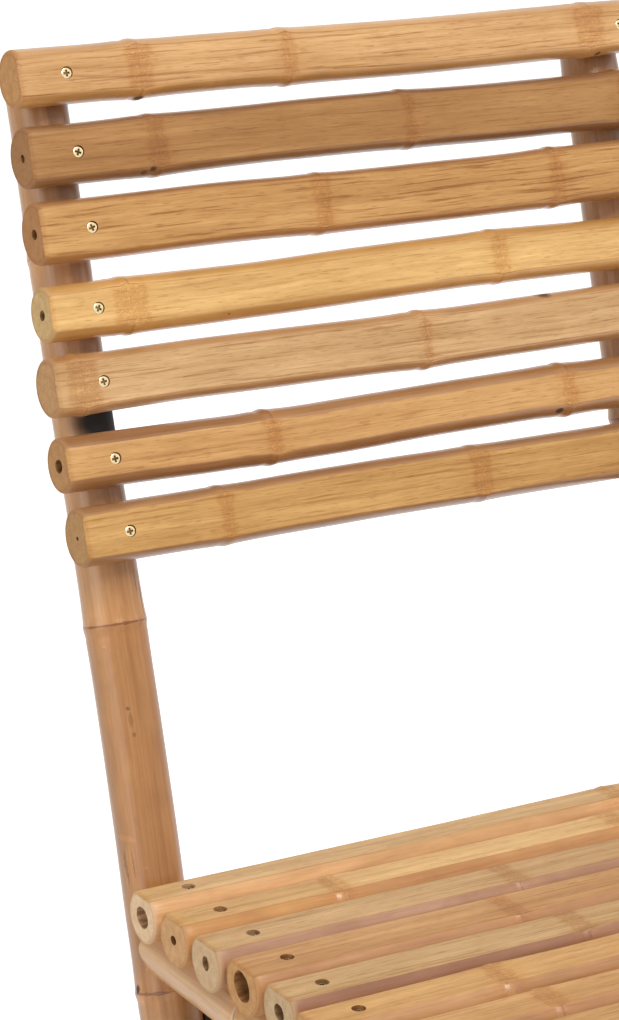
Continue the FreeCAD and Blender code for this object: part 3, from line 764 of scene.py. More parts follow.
def is_pole(tree):
    """1 on a pole that was never planed, which has no figure."""
    return maths(tree, "LESS_THAN", attribute(tree, "figure"), UNPLANED)


def marked(tree, colour):
    """Adds the object's own marks to a colour. Only a pole gets the black patch."""
    here = use(tree, mark_group, Position=add(tree, "ShaderNodeTexCoord").outputs["Object"])
    colour = tone_by(tree, here["Pale"], colour, (1.22, 1.18, 1.12, 1))
    colour = blend(tree, here["Dark"], colour, KNOT)
    return blend(tree, times(tree, here["Black_patch"], is_pole(tree)), colour, PATCH_BLACK), here


# %% [markdown]
# ## The planed face
# The plane takes off the hard green skin and shows straw-coloured wood. Each slat starts from its own tint
# and the groups make it darker and warmer in places, never greyer, as bamboo ages. The fibres also lift the
# face a little, which breaks up the light along the grain.

# %% Planed face
planed, tree, surface = finish("planed_bamboo", 0.5, 0.35)
grain, fibre, node = grown(tree)
figure = attribute(tree, "figure")
colour = attribute(tree, "planed_tint", "Color")
colour = shade(tree, colour, ramp(tree, fibre["Zone"], 0.3, 0.7), 0.91, 1.07)
colour = varied(tree, colour, ((fibre["Streak"], 0.88, 1.10), (fibre["Fine"], 0.93, 1.06),
                               (fibre["Mottle"], 0.94, 1.05)))
colour = shade(tree, colour, ramp(tree, attribute(tree, "tone"), -1.0, 1.0), 0.94, 1.06)
colour = tone_by(tree, times(tree, fibre["Pale"], times(tree, figure, 0.5)), colour, (1.16, 1.20, 1.34, 1))
colour = tone_by(tree, times(tree, fibre["Lines"], figure), colour, (0.60, 0.44, 0.30, 1))
colour = tone_by(tree, fibre["Dash"], colour, DARK_FIBRE, 0.45)
banded = tone_by(tree, 1.0, colour, (0.91, 0.81, 0.68, 1))
banded = shade(tree, banded, ramp(tree, node["Swirl"], 0.35, 0.65, False), 0.90, 1.12)
banded = tone_by(tree, node["Whorl"], banded, DARK_FIBRE, 0.55)
colour = tone_by(tree, node["Halo"], colour, (0.92, 0.84, 0.74, 1), 0.35)
colour = blend(tree, times(tree, node["Band"], 0.9), colour, banded)
colour = tone_by(tree, node["Line"], colour, (0.5, 0.34, 0.22, 1), 0.1)
worn = one_minus(tree, ramp(tree, attribute(tree, "from_end"), 0.0, 0.0045))
colour = tone_by(tree, worn, colour, (0.74, 0.60, 0.46, 1), 0.55)
outlined = times(tree, attribute(tree, "corner"), ramp(tree, fibre["Zone"], 0.35, 0.6))
colour = tone_by(tree, outlined, colour, (0.56, 0.40, 0.28, 1), 0.85)
colour, here = marked(tree, colour)
link(tree, colour, surface.inputs["Base Color"])
height = maths(tree, "SUBTRACT", fibre["Fine"], times(tree, fibre["Lines"], 0.6))
height = maths(tree, "SUBTRACT", height, times(tree, times(tree, node["Whorl"], node["Band"]), 0.5))
height = maths(tree, "SUBTRACT", height, times(tree, here["Dark"], 1.5))
bumped(tree, surface, height, 0.35, 0.0004)
level = maths(tree, "ADD", times(tree, fibre["Fine"], 0.2), 0.38)
link(tree, maths(tree, "ADD", level, times(tree, here["Dark"], 0.4)), surface.inputs["Roughness"])
print("planed face:", len(tree.nodes), "nodes")

# %% [markdown]
# ## The round skin
# The skin is waxy and smoother than the planed face, so it has a thin coat. Poles that were never planed show
# broad stripes and a strong scar at each node. The edge of a sawn end is sanded, so the skin is gone there.

# %% Round skin
skin, tree, surface = finish("bamboo_skin", 0.36)
surface.inputs["Coat Roughness"].default_value = 0.14
grain, fibre, node = grown(tree)
tone = attribute(tree, "tone")
pole = is_pole(tree)
colour = attribute(tree, "skin_tint", "Color")
colour = shade(tree, colour, ramp(tree, fibre["Zone"], 0.3, 0.7), 0.90, 1.09)
colour = varied(tree, colour, ((fibre["Streak"], 0.90, 1.09), (fibre["Mottle"], 0.90, 1.08),
                               (fibre["Fine"], 0.96, 1.03)))
colour = tone_by(tree, ramp(tree, tone, 0.0, 1.0), colour, (0.74, 0.66, 0.62, 1))
colour = shade(tree, colour, ramp(tree, tone, -1.0, 0.0), 0.84, 1.0)
stripes = noise_at(tree, grain, (1.5, 125, 125), 3, 0.6)
striped = shade(tree, colour, ramp(tree, stripes, 0.3, 0.7), 0.86, 1.10)
colour = blend(tree, pole, colour, striped)
colour = tone_by(tree, fibre["Lines"], colour, (0.72, 0.58, 0.46, 1), 0.30)
colour = tone_by(tree, node["Halo"], colour, (1.10, 1.05, 0.94, 1), 0.6)
colour = tone_by(tree, times(tree, node["Whorl"], node["Band"]), colour, DARK_FIBRE, 0.25)
line_depth = maths(tree, "ADD", times(tree, pole, 0.5), 0.3)
colour = tone_by(tree, times(tree, node["Line"], line_depth), colour, (0.42, 0.27, 0.17, 1))
worn = one_minus(tree, ramp(tree, attribute(tree, "from_end"), 0.0005, 0.0045))
sanded = tone_by(tree, 1.0, attribute(tree, "end_tint", "Color"), (0.80, 0.70, 0.60, 1))
colour = blend(tree, times(tree, worn, 0.85), colour, sanded)
colour, here = marked(tree, colour)
link(tree, colour, surface.inputs["Base Color"])
height = maths(tree, "ADD", times(tree, fibre["Fine"], 0.35), fibre["Streak"])
height = maths(tree, "SUBTRACT", height, times(tree, node["Line"], 0.8))
height = maths(tree, "SUBTRACT", maths(tree, "ADD", height, here["Pale"]), times(tree, here["Dark"], 1.5))
bumped(tree, surface, height, 0.3, 0.0005)
dull = maths(tree, "MAXIMUM", maths(tree, "MAXIMUM", worn, here["Black_patch"]), here["Dark"])
level = maths(tree, "ADD", times(tree, fibre["Mottle"], 0.16), 0.24)
link(tree, maths(tree, "ADD", level, times(tree, dull, 0.4)), surface.inputs["Roughness"])
shiny = maths(tree, "SUBTRACT", 0.30, times(tree, pole, 0.18))
link(tree, times(tree, shiny, one_minus(tree, dull)), surface.inputs["Coat Weight"])
print("round skin:", len(tree.nodes), "nodes")

# %% [markdown]
# ## Sawn ends and hollows
# Across the grain every fibre shows as a dot, denser towards the skin, so the rim is darker. Inside the
# hollow the wall is brown with dust, and it is painted darker still for the shade that falls in a bore or a
# screw hole. Both take their colour from the end tint of the culm.

# %% Sawn end and hollow
sawn, tree, surface = finish("sawn_end", 0.7, 0.2)
grain = attribute(tree, "grain", "Vector")
pores = add(tree, "ShaderNodeTexVoronoi")
pores.inputs["Scale"].default_value = 1.0
link(tree, stretched(tree, grain, (60, 900, 900)), pores.inputs["Vector"])
colour = varied(tree, attribute(tree, "end_tint", "Color"),
                ((noise_at(tree, grain, (30, 170, 170), 3, 0.6), 0.88, 1.07),
                 (noise_at(tree, grain, (30, 700, 700), 2), 0.94, 1.04)))
dots = one_minus(tree, ramp(tree, pores.outputs["Distance"], 0.10, 0.28))
colour = tone_by(tree, dots, colour, (0.6, 0.44, 0.3, 1), 0.35)
near_skin = ramp(tree, attribute(tree, "rim"), 0.35, 1.0)
colour = tone_by(tree, near_skin, colour, (0.72, 0.60, 0.48, 1), 0.55)
link(tree, colour, surface.inputs["Base Color"])
bumped(tree, surface, noise_at(tree, grain, (40, 900, 900), 2), 0.2, 0.0004)

hollow, tree, surface = finish("hollow_inside", 0.8, 0.15)
# partly the wall's own brown and dust, partly painted shade: darker than the end for the shade in a bore or a
# screw hole
dust_and_shade = ramp(tree, noise_at(tree, attribute(tree, "grain", "Vector"), (60, 300, 300), 3), 0.35, 0.65)
colour = tone_by(tree, 1.0, attribute(tree, "end_tint", "Color"), (0.60, 0.52, 0.44, 1))
colour = tone_by(tree, dust_and_shade, colour, (0.55, 0.46, 0.38, 1))
link(tree, colour, surface.inputs["Base Color"])
print("bamboo finishes ready")

# %% [markdown]
# ## Giving a culm its tints
# A planed face, a skin and a sawn end each get a colour of their own, written on every point. The helper
# also hides the CAD node the piece stands for, and makes the piece move with that node's body.

# %% Dressing a culm
def linear(red, green, blue):
    """A screen colour, 0 to 255, as the linear colour that shaders use."""
    return tuple(((value / 255 + 0.055) / 1.055) ** 2.4 for value in (red, green, blue)) + (1.0,)


def dress(thing, body, node, slot, planed_tint, skin_tint, end_tint=None, figure=0.0):
    """Tints a culm, gives it the bamboo finishes and lets it stand for its CAD node."""
    end_tint = end_tint or planed_tint
    layer = thing.data.attributes.new("figure", "FLOAT", "POINT")
    layer.data.foreach_set("value", [figure] * len(thing.data.vertices))
    for name, value in (("planed_tint", planed_tint), ("skin_tint", skin_tint), ("end_tint", end_tint)):
        layer = thing.data.attributes.new(name, "FLOAT_COLOR", "POINT")
        layer.data.foreach_set("color", list(linear(*value)) * len(thing.data.vertices))
    for material in (planed, skin, sawn, hollow):
        thing.data.materials.append(material)
    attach(thing, body)
    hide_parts(node)
    return thing


# %% [markdown]
# ## Back slats
# Seven slats lie across the posts, planed flat towards the sitter. Each is its own culm with its own
# colour, nodes and sawn ends, so they are listed one by one from the top, as seen.

# %% The seven back slats
PLANED_HEIGHT = 33.5 * MM
POST_FOOT, POST_HEAD, POST_LENGTH, POST_TAIL = 43.5 * MM, 40.5 * MM, 748 * MM, 148 * MM
LOWEST_SLAT = 280 * MM
LET_IN = 5 * MM
POST_AT_SLATS = POST_FOOT - (POST_FOOT - POST_HEAD) * (LOWEST_SLAT + POST_TAIL) / POST_LENGTH
BACK_FRONT = POST_AT_SLATS / 2 - LET_IN
BACK_HOLE = (4.1 * MM, 1.2 * MM)
BACK_SEED = 11
BACK_FACE = BACK_FRONT + PLANED_HEIGHT
# diameter, up the post, ends, bores, nodes and their half widths, bow,
# planed, skin and end tints, figure, tones
BACK_SLATS = [
    (39.0, 586, (-258, 258), (0, 0), ((-169, 9.5), (-54, 6), (196, 12)), 1.6,
     (214, 170, 119), (212, 162, 102), (204, 154, 102), 0.75, (-0.2, -0.1, 0.1, 0)),
    (41.0, 533.5, (-258, 257), (5.6, 0), ((-164, 7.5), (35, 5), (218, 5)), 1.8,
     (174, 129, 79), (152, 110, 72), (172, 126, 84), 0.45, (0.1, 0, 0.2, 0)),
    (42.0, 483, (-258, 259), (7.5, 8), ((-44, 7), (150, 6)), 1.4,
     (201, 155, 98), (184, 134, 84), (184, 134, 88), 1.0, (0, -0.3, 0)),
    (38.0, 429.5, (-260, 258), (7.5, 0), ((-201, 13), (93, 7)), 1.6,
     (224, 182, 120), (216, 168, 102), (216, 182, 130), 0.35, (0.4, 0.1, 0.3)),
    (40.0, 381, (-264, 256), (0, 0), ((-244, 12), (23, 4)), 1.6,
     (210, 172, 126), (196, 152, 106), (200, 156, 110), 0.65, (-0.4, 0, 0.1)),
    (37.0, 329.5, (-264, 258), (10.0, 6), ((-108, 5), (135, 6)), 1.6,
     (214, 168, 112), (182, 136, 92), (192, 146, 98), 0.45, (0.5, 0.0, -0.2)),
    (40.0, 280.5, (-259, 259), (3.0, 0), ((-152, 6), (52, 8)), 1.2,
     (203, 159, 99), (170, 126, 86), (190, 148, 100), 0.55, (0.1, 0.1, 0)),
]
# where each slat's screws are across the seat
BACK_SCREWS = [(-223, 223), (-223, 224), (-221, 225), (-225, 223), (-229, 222), (-229, 224), (-226, 225)]
for number, row in enumerate(BACK_SLATS):
    diameter, up, (low, high), bore, nodes, bow, face_tint, skin_tint, end_tint, figure, tones = row
    node_name = "back_slat_%02d" % (number + 1)
    out = BACK_FRONT + diameter / 2 * MM
    slat = culm(node_name + "_look", post_spot(low * MM, up * MM, out), post_spot(high * MM, up * MM, out),
                OUT_OF_POST, (diameter * MM, diameter * MM), [(place - low) * MM for place, _ in nodes],
                BACK_SEED + number, flat=PLANED_HEIGHT - diameter / 2 * MM, bow=bow * MM,
                bore=(bore[0] * MM, bore[1] * MM), soft=1.2 * MM, ease=2.2 * MM, tones=tones,
                bands=[half * MM for _, half in nodes],
                holes=[((x - low) * MM, *BACK_HOLE) for x in BACK_SCREWS[number]])
    dress(slat, "back_frame", node_name, "planed_bamboo", face_tint, skin_tint, end_tint, figure)
print("back slats:", len(BACK_SLATS))

# %% [markdown]
# ## Seat slats
# The seat's slats are made in the same way, planed on top. Their screws are sunk in drilled holes. Five of
# them show in the photograph, and the rest follow with the same spread of tints and hollows.

# %% The ten seat slats
SEAT_BOTTOM = RAIL_HEIGHT + 18.5 * MM
SEAT_FACE = SEAT_BOTTOM + PLANED_HEIGHT
FIRST_SEAT_SLAT = 33.5
SEAT_PITCH = 44
SEAT_SCREW_X = 221
SEAT_HOLE = (4.6 * MM, 2.7 * MM)
SEAT_SEED = 41
# diameter, ends, bores and how deep, nodes, planed, skin and end tints, figure, tones
SEAT_SLATS = [
    (37.0, (-256, 258), (15.4, 9, 7), (122,), (219, 181, 130),
     (222, 172, 118), (240, 208, 172), 0.35, (0, 0)),
    (38.0, (-256, 258), (7.0, 0, 16), (-135, 93), (223, 181, 122),
     (220, 166, 104), (214, 168, 120), 0.35, (-1, 0.9, 0)),
    (39.5, (-256, 257), (9.3, 5, 3), (-25, 190), (207, 169, 120),
     (186, 142, 112), (216, 184, 146), 0.5, (0.3, 0.1, 0.4)),
    (41.0, (-254, 258), (20.0, 12, 20), (-55, 175), (203, 155, 102),
     (206, 156, 112), (204, 156, 104), 0.5, (0, 0.4, 0)),
    (40.0, (-252, 258), (11.4, 0, 24), (-31, 200), (207, 171, 122),
     (176, 128, 98), (208, 178, 140), 0.7, (0.4, 0, 0.2)),
    (39.0, (-256, 258), (0.0, 7, 12), (-118, 110), (217, 171, 112),
     (204, 156, 108), (206, 160, 108), 0.4, (0, 0.5, 0)),
    (38.0, (-258, 256), (9.3, 0, 15), (-111, 120), (209, 163, 108),
     (196, 146, 100), (204, 158, 106), 0.5, (0.2, 0, 0.4)),
    (40.0, (-257, 258), (0.0, 11, 15), (-195, 75), (205, 161, 106),
     (190, 140, 96), (200, 154, 104), 0.6, (0, 0.3, 0)),
    (39.0, (-258, 258), (11.4, 0, 18), (-60, 185), (215, 173, 116),
     (204, 154, 102), (210, 168, 116), 0.4, (0.3, 0, 0)),
    (41.0, (-256, 257), (0.0, 8, 14), (-140, 110), (207, 161, 102),
     (192, 144, 96), (202, 156, 104), 0.5, (0, 0.2, 0)),
]
for number, row in enumerate(SEAT_SLATS):
    diameter, (low, high), bore, nodes, face_tint, skin_tint, end_tint, figure, tones = row
    node_name = "seat_slat_%02d" % (number + 1)
    forward = (FIRST_SEAT_SLAT + SEAT_PITCH * number) * MM
    centre = SEAT_BOTTOM + diameter / 2 * MM
    slat = culm(node_name + "_look", seat_spot(low * MM, forward, centre),
                seat_spot(high * MM, forward, centre), UP, (diameter * MM, diameter * MM),
                [(place - low) * MM for place in nodes], SEAT_SEED + number,
                flat=PLANED_HEIGHT - diameter / 2 * MM, bow=0.6 * MM, bore=(bore[0] * MM, bore[1] * MM),
                tones=tones, depth=bore[2] * MM, bands=[8 * MM] * len(nodes), soft=0.9 * MM, ease=1.4 * MM,
                holes=[((side * SEAT_SCREW_X - low) * MM, *SEAT_HOLE) for side in (-1, 1)])
    dress(slat, "seat_frame", node_name, "planed_bamboo", face_tint, skin_tint, end_tint, figure)
print("seat slats:", len(SEAT_SLATS))

# %% [markdown]
# ## Posts and rails
# The posts are round culms, a little thicker at the foot. Below the rail each is planed flat on its inner
# side to lie beside the steel plate.

# %% Posts
POST_TINT = (194, 146, 98)
POST_TOP = 0.6
POST_SEED = 71
FIRST_NODE, NODE_SPACING = 117, 250
RAIL_DIAMETER = 41 * MM
FLAT_DEPTH = 3 * MM
PLATE_OUTER = POLE_PLANE - RAIL_DIAMETER / 2 + FLAT_DEPTH
POST_CLEARANCE = 0.3 * MM
TAIL_FLAT_TOP = POST_TAIL


def post_trim(side_sign):
    """The plane that flattens a post's tail beside the plate."""
    reach = POLE_PLANE - PLATE_OUTER - POST_CLEARANCE

    def trim(side, out, along):
        """Holds a point of the tail back to the flat."""
        if along < TAIL_FLAT_TOP:
            side = max(side, -reach) if side_sign > 0 else min(side, reach)
        return side, out

    return trim


for name, sign in (("left", 1), ("right", -1)):
    first = FIRST_NODE + (NODE_SPACING / 3 if sign > 0 else 0)
    nodes = [(first + NODE_SPACING * step) * MM for step in range(3)]
    post = culm("back_post_%s_look" % name, post_spot(sign * POLE_PLANE, -POST_TAIL),
                post_spot(sign * POLE_PLANE, POST_TOP), OUT_OF_POST, (POST_FOOT, POST_HEAD), nodes,
                POST_SEED + sign, bow=1.5 * MM, ease=2 * MM, tones=(-0.5, -1, -0.1, -0.4),
                bore=(9 * MM, 10 * MM), trim=post_trim(-sign), cuts=(TAIL_FLAT_TOP,))
    dress(post, "back_frame", "back_post_" + name, "bamboo_pole", POST_TINT, POST_TINT, (200, 156, 104))
print("posts made")

# %% [markdown]
# ## The two side rails
# A rail's rear end is hollowed with a round cutter to sit on the leaning post, which is called a fish
# mouth. Two flats are planed on its inner side for the steel plates, and only there.

# %% Rails
PAST_LAST_SLAT = 14
RAIL_END = (FIRST_SEAT_SLAT + SEAT_PITCH * 9 + PAST_LAST_SLAT) * MM
RAIL_SEED = 81
FIRST_RAIL_NODE, RAIL_NODE_SPACING = 140, 205
RAIL_TINTS = ((205, 158, 108), (208, 164, 112), (210, 164, 110))
PLATE_SCREWS = ((46 * MM, 132 * MM), (356 * MM, 434 * MM))
STRAP_HALF = math.sqrt(20.5 ** 2 - 17.5 ** 2) * MM + 1.5 * MM
COPE_RADIUS = 21.3 * MM


def rail_trim(side_sign):
    """The two flats that the steel plates lie in."""
    reach = POLE_PLANE - PLATE_OUTER

    def trim(side, out, along):
        """Holds a point back to the flat where a plate lies."""
        for rear, front in PLATE_SCREWS:
            if rear - STRAP_HALF <= along <= front + STRAP_HALF:
                side = max(side, -reach) if side_sign > 0 else min(side, reach)
        return side, out

    return trim


def rail_cope(side, out):
    """How far the rail's rear end stands clear of its own start, round the post."""
    return (math.sqrt(max(COPE_RADIUS ** 2 - side ** 2, 0)) - out * math.sin(LEAN)) / math.cos(LEAN)


for name, sign in (("left", 1), ("right", -1)):
    first = FIRST_RAIL_NODE + (RAIL_NODE_SPACING / 4 if sign > 0 else 0)
    nodes = [(first + RAIL_NODE_SPACING * step) * MM for step in range(2)]
    cuts = [edge for rear, front in PLATE_SCREWS for edge in (rear - STRAP_HALF, front + STRAP_HALF)]
    cuts = [cut for cut in cuts if cut < RAIL_END - 4 * MM]
    rail = culm("seat_rail_%s_look" % name, seat_spot(sign * POLE_PLANE, 0, RAIL_HEIGHT),
                seat_spot(sign * POLE_PLANE, RAIL_END, RAIL_HEIGHT), UP,
                (RAIL_DIAMETER, RAIL_DIAMETER), nodes, RAIL_SEED + sign,
                bore=(0, 10 * MM), trim=rail_trim(sign), cuts=cuts, cope=(rail_cope, None), ease=1.4 * MM)
    dress(rail, "seat_frame", "seat_rail_" + name, "bamboo_pole", *RAIL_TINTS)
print("rails made")

# %% [markdown]
# ## Legs, stretchers and cross poles
# The photograph ends above the legs, so they follow the solids. A leg has two planed cheeks and a rounded
# head where it turns on its bolt, and its foot is cut level with the floor. Stretchers join each pair.

# %% Legs
LEG_TINT = (202, 152, 100)
LEG_DIAMETER = 34 * MM
LEG_SEED = 91
HEAD_REACH = 26 * MM
CHEEK = 15 * MM
CHEEK_START = -30 * MM


def leg(name, body, pivot, splay, way, x, node_below, seed):
    """A leg from the floor to its rounded head above the pivot."""
    down = (FORWARD * way * math.sin(splay) - UP * math.cos(splay)).normalized()
    below = pivot.z / math.cos(splay)
    foot = Vector((x, pivot.y, pivot.z)) + down * below
    head = Vector((x, pivot.y, pivot.z)) - down * HEAD_REACH
    outwards = (FORWARD * way - down * down.dot(FORWARD * way)).normalized()

    def trim(side, out, along):
        """Planes the two cheeks and rounds the head."""
        above = along - below
        if above > CHEEK_START:
            side = max(-CHEEK, min(CHEEK, side))
        if above > 0:
            reach = math.sqrt(max(HEAD_REACH ** 2 - above ** 2, 0))
            out = max(-reach, min(reach, out))
        return side, out

    def level(side, out):
        """How far the foot's cut rises, so that it lies flat on the floor."""
        return -out * outwards.z / -down.z

    cuts = [below + step * MM for step in (-30, 18.5, 20.5, 22.5, 24)]
    piece = culm(name + "_look", foot, head, FORWARD * way, (LEG_DIAMETER, LEG_DIAMETER),
                 [below - node_below], seed, bow=0.8 * MM, trim=trim, cuts=cuts, cope=(level, None),
                 ease=1.2 * MM, wander=0.2 * MM)
    dress(piece, body, name, "bamboo_pole", LEG_TINT, LEG_TINT, (206, 160, 108))


SPLAYS = {"front": (front_pivot, math.radians(6.3), 1, 0.182), "rear": (hinge, math.radians(22), -1, 0.146)}
for pair, (pivot, splay, way, plane) in SPLAYS.items():
    for name, sign in (("left", 1), ("right", -1)):
        leg("%s_leg_%s" % (pair, name), pair + "_leg_frame", pivot, splay, way, sign * plane,
            (150 + (1 + sign) * 8) * MM, LEG_SEED + sign + way)
print("legs made")


# %% [markdown]
# ## What joins the pairs
# Thin culms keep the legs apart, and two more keep the rails apart. The front stretchers lie on the legs
# and overhang, the others end in bored holes. One list holds them all, as only place and size differ.

# %% Stretchers and cross poles
def leg_spot(pair, x, below, out=0.0):
    """A point down a leg of a pair from its pivot, and out on the side it is splayed to."""
    pivot, splay, way, _ = SPLAYS[pair]
    return (Vector((x, pivot.y, pivot.z)) + FORWARD * way * (below * math.sin(splay) + out * math.cos(splay))
            + UP * (out * math.sin(splay) - below * math.cos(splay)))


CROSSING_SEED = 101
# name, body, start, length, diameter in mm, place of the node
CROSSINGS = [
    ("front_stretcher_upper", "front_leg_frame", leg_spot("front", -0.212, 0.095, 0.028), 0.424, 26, 0.2595),
    ("front_stretcher_lower", "front_leg_frame", leg_spot("front", -0.212, 0.245, 0.028), 0.424, 26, 0.3345),
    ("rear_stretcher_upper", "rear_leg_frame", leg_spot("rear", -0.141, 0.110), 0.282, 24, 0.1135),
    ("rear_stretcher_lower", "rear_leg_frame", leg_spot("rear", -0.141, 0.262), 0.282, 24, 0.0755),
    ("rear_cross_pole", "seat_frame", seat_spot(-0.2165, 0.165, RAIL_HEIGHT), 0.433, 28, 0.258),
    ("front_cross_pole", "seat_frame", seat_spot(-0.2165, 0.315, RAIL_HEIGHT), 0.433, 28, 0.295),
]
for number, (name, body, start, length, diameter, node) in enumerate(CROSSINGS):
    pole = culm(name + "_look", start, start + ACROSS * length, FORWARD, (diameter * MM, diameter * MM),
                [node], CROSSING_SEED + number, bow=0.5 * MM, ease=1.4 * MM, wander=0.18 * MM,
                bore=(7 * MM, 6 * MM))
    dress(pole, body, name, "bamboo_pole", LEG_TINT, (200, 150, 98), (210, 166, 112))
print("crossings:", len(CROSSINGS))

# %% [markdown]
# ## Screws
# Countersunk brass screws with a cross slot hold the slats. The cross has to catch light, so it is really
# cut: rings of points are pulled from a circle into a cross outline and pushed down into the head.

# %% Screw maker
SCREW_SEGMENTS = 40
CROSS_ARM, CROSS_WIDTH = 2.35 * MM, 0.75 * MM
# reach and depth in mm: up the shank, under the head and over its rim
SCREW_OUTLINE = [(2.0, 2.4), (3.35, 0.35), (3.55, 0.1), (3.42, 0.0), (2.8, -0.05)]
# share of the cross and depth in mm: from the face down into the recess
CROSS_OUTLINE = [(1.0, -0.05), (0.96, 0.25), (0.72, 1.3), (0.2, 1.9)]


def cross_reach(turn):
    """Half the width of a cross slot in a direction."""
    fold = abs((turn + math.pi / 4) % (math.pi / 2) - math.pi / 4)
    if math.tan(fold) < CROSS_WIDTH / CROSS_ARM:
        return CROSS_ARM / math.cos(fold)
    return CROSS_WIDTH / math.sin(fold)


def add_screw(bm, recess, head, direction, length, twist):
    """One screw, its head face centred on a point and its shank going in a direction."""
    turn = direction.to_track_quat("Z", "Y").to_matrix().to_4x4()
    place = Matrix.Translation(head) @ turn @ Matrix.Rotation(twist, 4, "Z")
    ring = bmesh.ops.create_circle(bm, cap_ends=True, segments=SCREW_SEGMENTS, radius=0.3 * MM)["verts"]
    edges = list(dict.fromkeys(edge for vert in ring for edge in vert.link_edges))
    for vert in ring:
        vert.co.z = length
    outline = [(2.0, length / MM - 5)] + SCREW_OUTLINE
    profile = [(reach * MM, drop * MM, False) for reach, drop in outline]
    profile += [(share, drop * MM, True) for share, drop in CROSS_OUTLINE]
    points = list(ring)
    for reach, drop, crossed in profile:
        edges, ring = grow(bm, edges)
        points += ring
        for vert in ring:
            angle = math.atan2(vert.co.y, vert.co.x)
            radius = reach * cross_reach(angle) if crossed else reach
            vert.co = Vector((radius * math.cos(angle), radius * math.sin(angle), drop))
            vert[recess] = 1.0 if crossed and drop > 0 else 0.0
    bmesh.ops.holes_fill(bm, edges=edges, sides=0)
    bmesh.ops.transform(bm, matrix=place, verts=points)


def screw_set(node_name, body, material, screws):
    """All the screws of one CAD node as one piece."""
    bm = bmesh.new()
    recess = bm.verts.layers.float.new("recess")
    chance = random.Random(len(node_name) * 7)
    for head, direction, length in screws:
        add_screw(bm, recess, head, direction, length, chance.uniform(0, math.pi))
    bmesh.ops.recalc_face_normals(bm, faces=bm.faces)
    for face in bm.faces:
        face.smooth = face.calc_area() < 6e-6
    mesh = bpy.data.meshes.new(node_name + "_look")
    bm.to_mesh(mesh)
    bm.free()
    mesh.set_sharp_from_angle(angle=math.radians(35))
    thing = bpy.data.objects.new(node_name + "_look", mesh)
    scene.collection.objects.link(thing)
    thing.data.materials.append(material)
    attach(thing, body)
    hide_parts(node_name)
    print(node_name, len(screws), "screws")


# %% [markdown]
# ## Metal and knob finishes
# The plates and bolts aren't in the photograph. They get the plain finishes of garden furniture: satin black
# coat on the plates, zinc on bolts, nuts and rods, and oiled wood on the two hand knobs.

# %% Brass, zinc, black coat and oiled wood
brass, tree, surface = finish("brass_screws", 0.3)
surface.inputs["Metallic"].default_value = 1.0
where = add(tree, "ShaderNodeTexCoord").outputs["Object"]
wear = noise_at(tree, where, (900, 900, 900), 3)
colour = blend(tree, ramp(tree, wear, 0.35, 0.7), (0.93, 0.78, 0.48, 1), (0.74, 0.56, 0.28, 1))
# painted shade: the cross slot is painted near black and made non-metallic, for the shade that falls inside the
# recess
slot_shade = attribute(tree, "recess")
colour = blend(tree, slot_shade, colour, (0.02, 0.014, 0.008, 1))
link(tree, colour, surface.inputs["Base Color"])
link(tree, one_minus(tree, slot_shade), surface.inputs["Metallic"])
link(tree, maths(tree, "ADD", times(tree, wear, 0.25), 0.16), surface.inputs["Roughness"])

zinc, tree, surface = finish("zinc_plate", 0.4)
surface.inputs["Metallic"].default_value = 1.0
where = add(tree, "ShaderNodeTexCoord").outputs["Object"]
spangle = add(tree, "ShaderNodeTexVoronoi")
spangle.inputs["Scale"].default_value = 1.0
link(tree, stretched(tree, where, (350, 350, 350)), spangle.inputs["Vector"])
cloud = noise_at(tree, where, (120, 120, 120), 4)
colour = blend(tree, spangle.outputs["Distance"], (0.50, 0.51, 0.53, 1), (0.66, 0.67, 0.69, 1))
colour = blend(tree, ramp(tree, cloud, 0.55, 0.8), colour, (0.40, 0.40, 0.39, 1))
link(tree, colour, surface.inputs["Base Color"])
link(tree, maths(tree, "ADD", times(tree, cloud, 0.3), 0.25), surface.inputs["Roughness"])

black, tree, surface = finish("black_coat", 0.45)
where = add(tree, "ShaderNodeTexCoord").outputs["Object"]
orange_peel = noise_at(tree, where, (1400, 1400, 1400), 2)
dust = noise_at(tree, where, (70, 70, 70), 4)
colour = blend(tree, ramp(tree, dust, 0.4, 0.75), (0.022, 0.021, 0.020, 1), (0.045, 0.043, 0.040, 1))
link(tree, colour, surface.inputs["Base Color"])
link(tree, maths(tree, "ADD", times(tree, dust, 0.25), 0.32), surface.inputs["Roughness"])
bumped(tree, surface, orange_peel, 0.2, 0.0002)

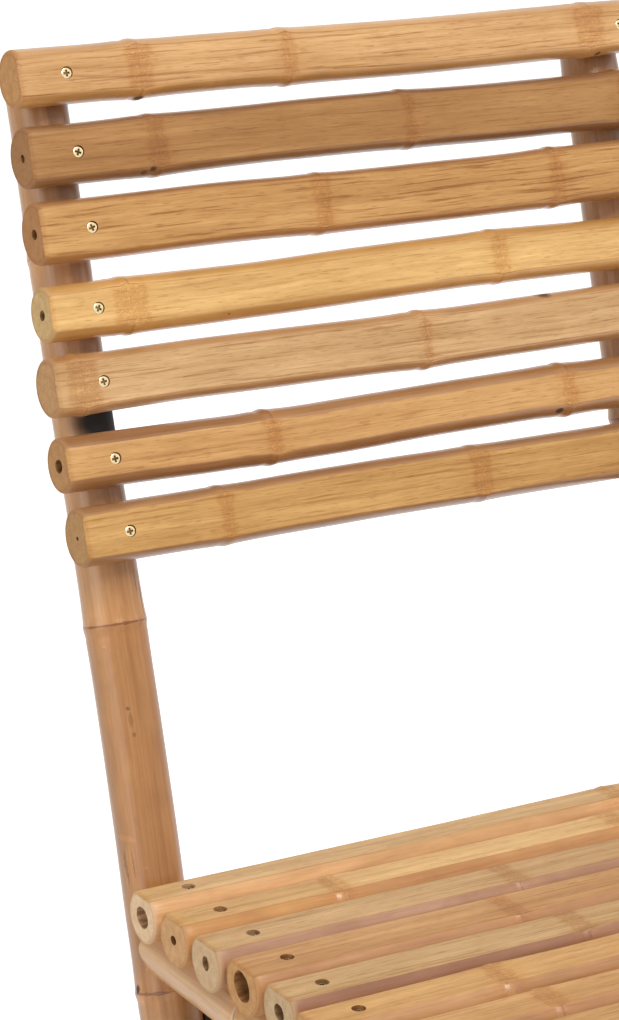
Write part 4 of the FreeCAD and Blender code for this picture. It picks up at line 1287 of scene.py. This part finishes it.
oiled, tree, surface = finish("oiled_knob", 0.4)
where = add(tree, "ShaderNodeTexCoord").outputs["Object"]
rings = noise_at(tree, where, (30, 420, 130), 3, 0.6, 0.4)
pore = noise_at(tree, where, (260, 2400, 2400), 1)
colour = blend(tree, ramp(tree, rings, 0.35, 0.68), (0.20, 0.095, 0.04, 1), (0.36, 0.19, 0.085, 1))
colour = blend(tree, times(tree, ramp(tree, pore, 0.6, 0.75), 0.5), colour, (0.08, 0.035, 0.015, 1))
link(tree, colour, surface.inputs["Base Color"])
link(tree, maths(tree, "ADD", times(tree, rings, 0.2), 0.28), surface.inputs["Roughness"])
bumped(tree, surface, pore, 0.25, 0.0002)
print("metal and knob finishes ready")

# %% [markdown]
# ## Driving the screws
# Every slat has a screw over each post or rail. On the back they lie flush with the planed face, and on the
# seat they sit deep in a counterbore so that nobody feels them. Four more hold the front stretchers.

# %% Place the screws
screw_set("back_slat_screws", "back_frame", brass,
          [(post_spot((x - 0.35) * MM, (row[1] - 0.3) * MM, BACK_FACE - 0.3 * MM), -OUT_OF_POST, 45 * MM)
           for row, pair in zip(BACK_SLATS, BACK_SCREWS) for x in pair])
screw_set("seat_slat_screws", "seat_frame", brass,
          [(seat_spot(sign * SEAT_SCREW_X * MM, (FIRST_SEAT_SLAT + SEAT_PITCH * step) * MM,
                      SEAT_FACE - 2.0 * MM), -UP, 45 * MM)
           for step in range(10) for sign in (1, -1)])
LAPPED_FACE = 0.017 + 0.026 - 0.002
inward = (leg_spot("front", 0, 0, -1) - leg_spot("front", 0, 0, 0)).normalized()
screw_set("stretcher_screws", "front_leg_frame", brass,
          [(leg_spot("front", sign * 0.182, below, LAPPED_FACE), inward, 38 * MM)
           for below in (0.095, 0.245) for sign in (1, -1)])

# %% [markdown]
# ## Finishing the exact solids
# Plates, bolts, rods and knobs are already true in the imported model, so their meshes are kept as they are and
# only get a finish in place of the plain one they came with.

# %% Finishes of the solids that stay
KEPT = {
    black: ["recline_plate_left", "recline_plate_right", "front_hinge_plate_left", "front_hinge_plate_right"],
    zinc: ["rear_stop_rod", "front_stop_rod", "stop_rod_nuts", "recline_bolts", "front_leg_bolts",
           "pivot_nuts", "pivot_washers", "leg_spacer_sleeves", "clamp_bolts", "clamp_washers",
           "plate_screws"],
    oiled: ["clamp_knob_left", "clamp_knob_right"],
}
for material, names in KEPT.items():
    for name in names:
        mesh = frame["nodes"][name].data
        mesh.materials.clear()
        mesh.materials.append(material)
print("finished solids:", sum(len(names) for names in KEPT.values()))
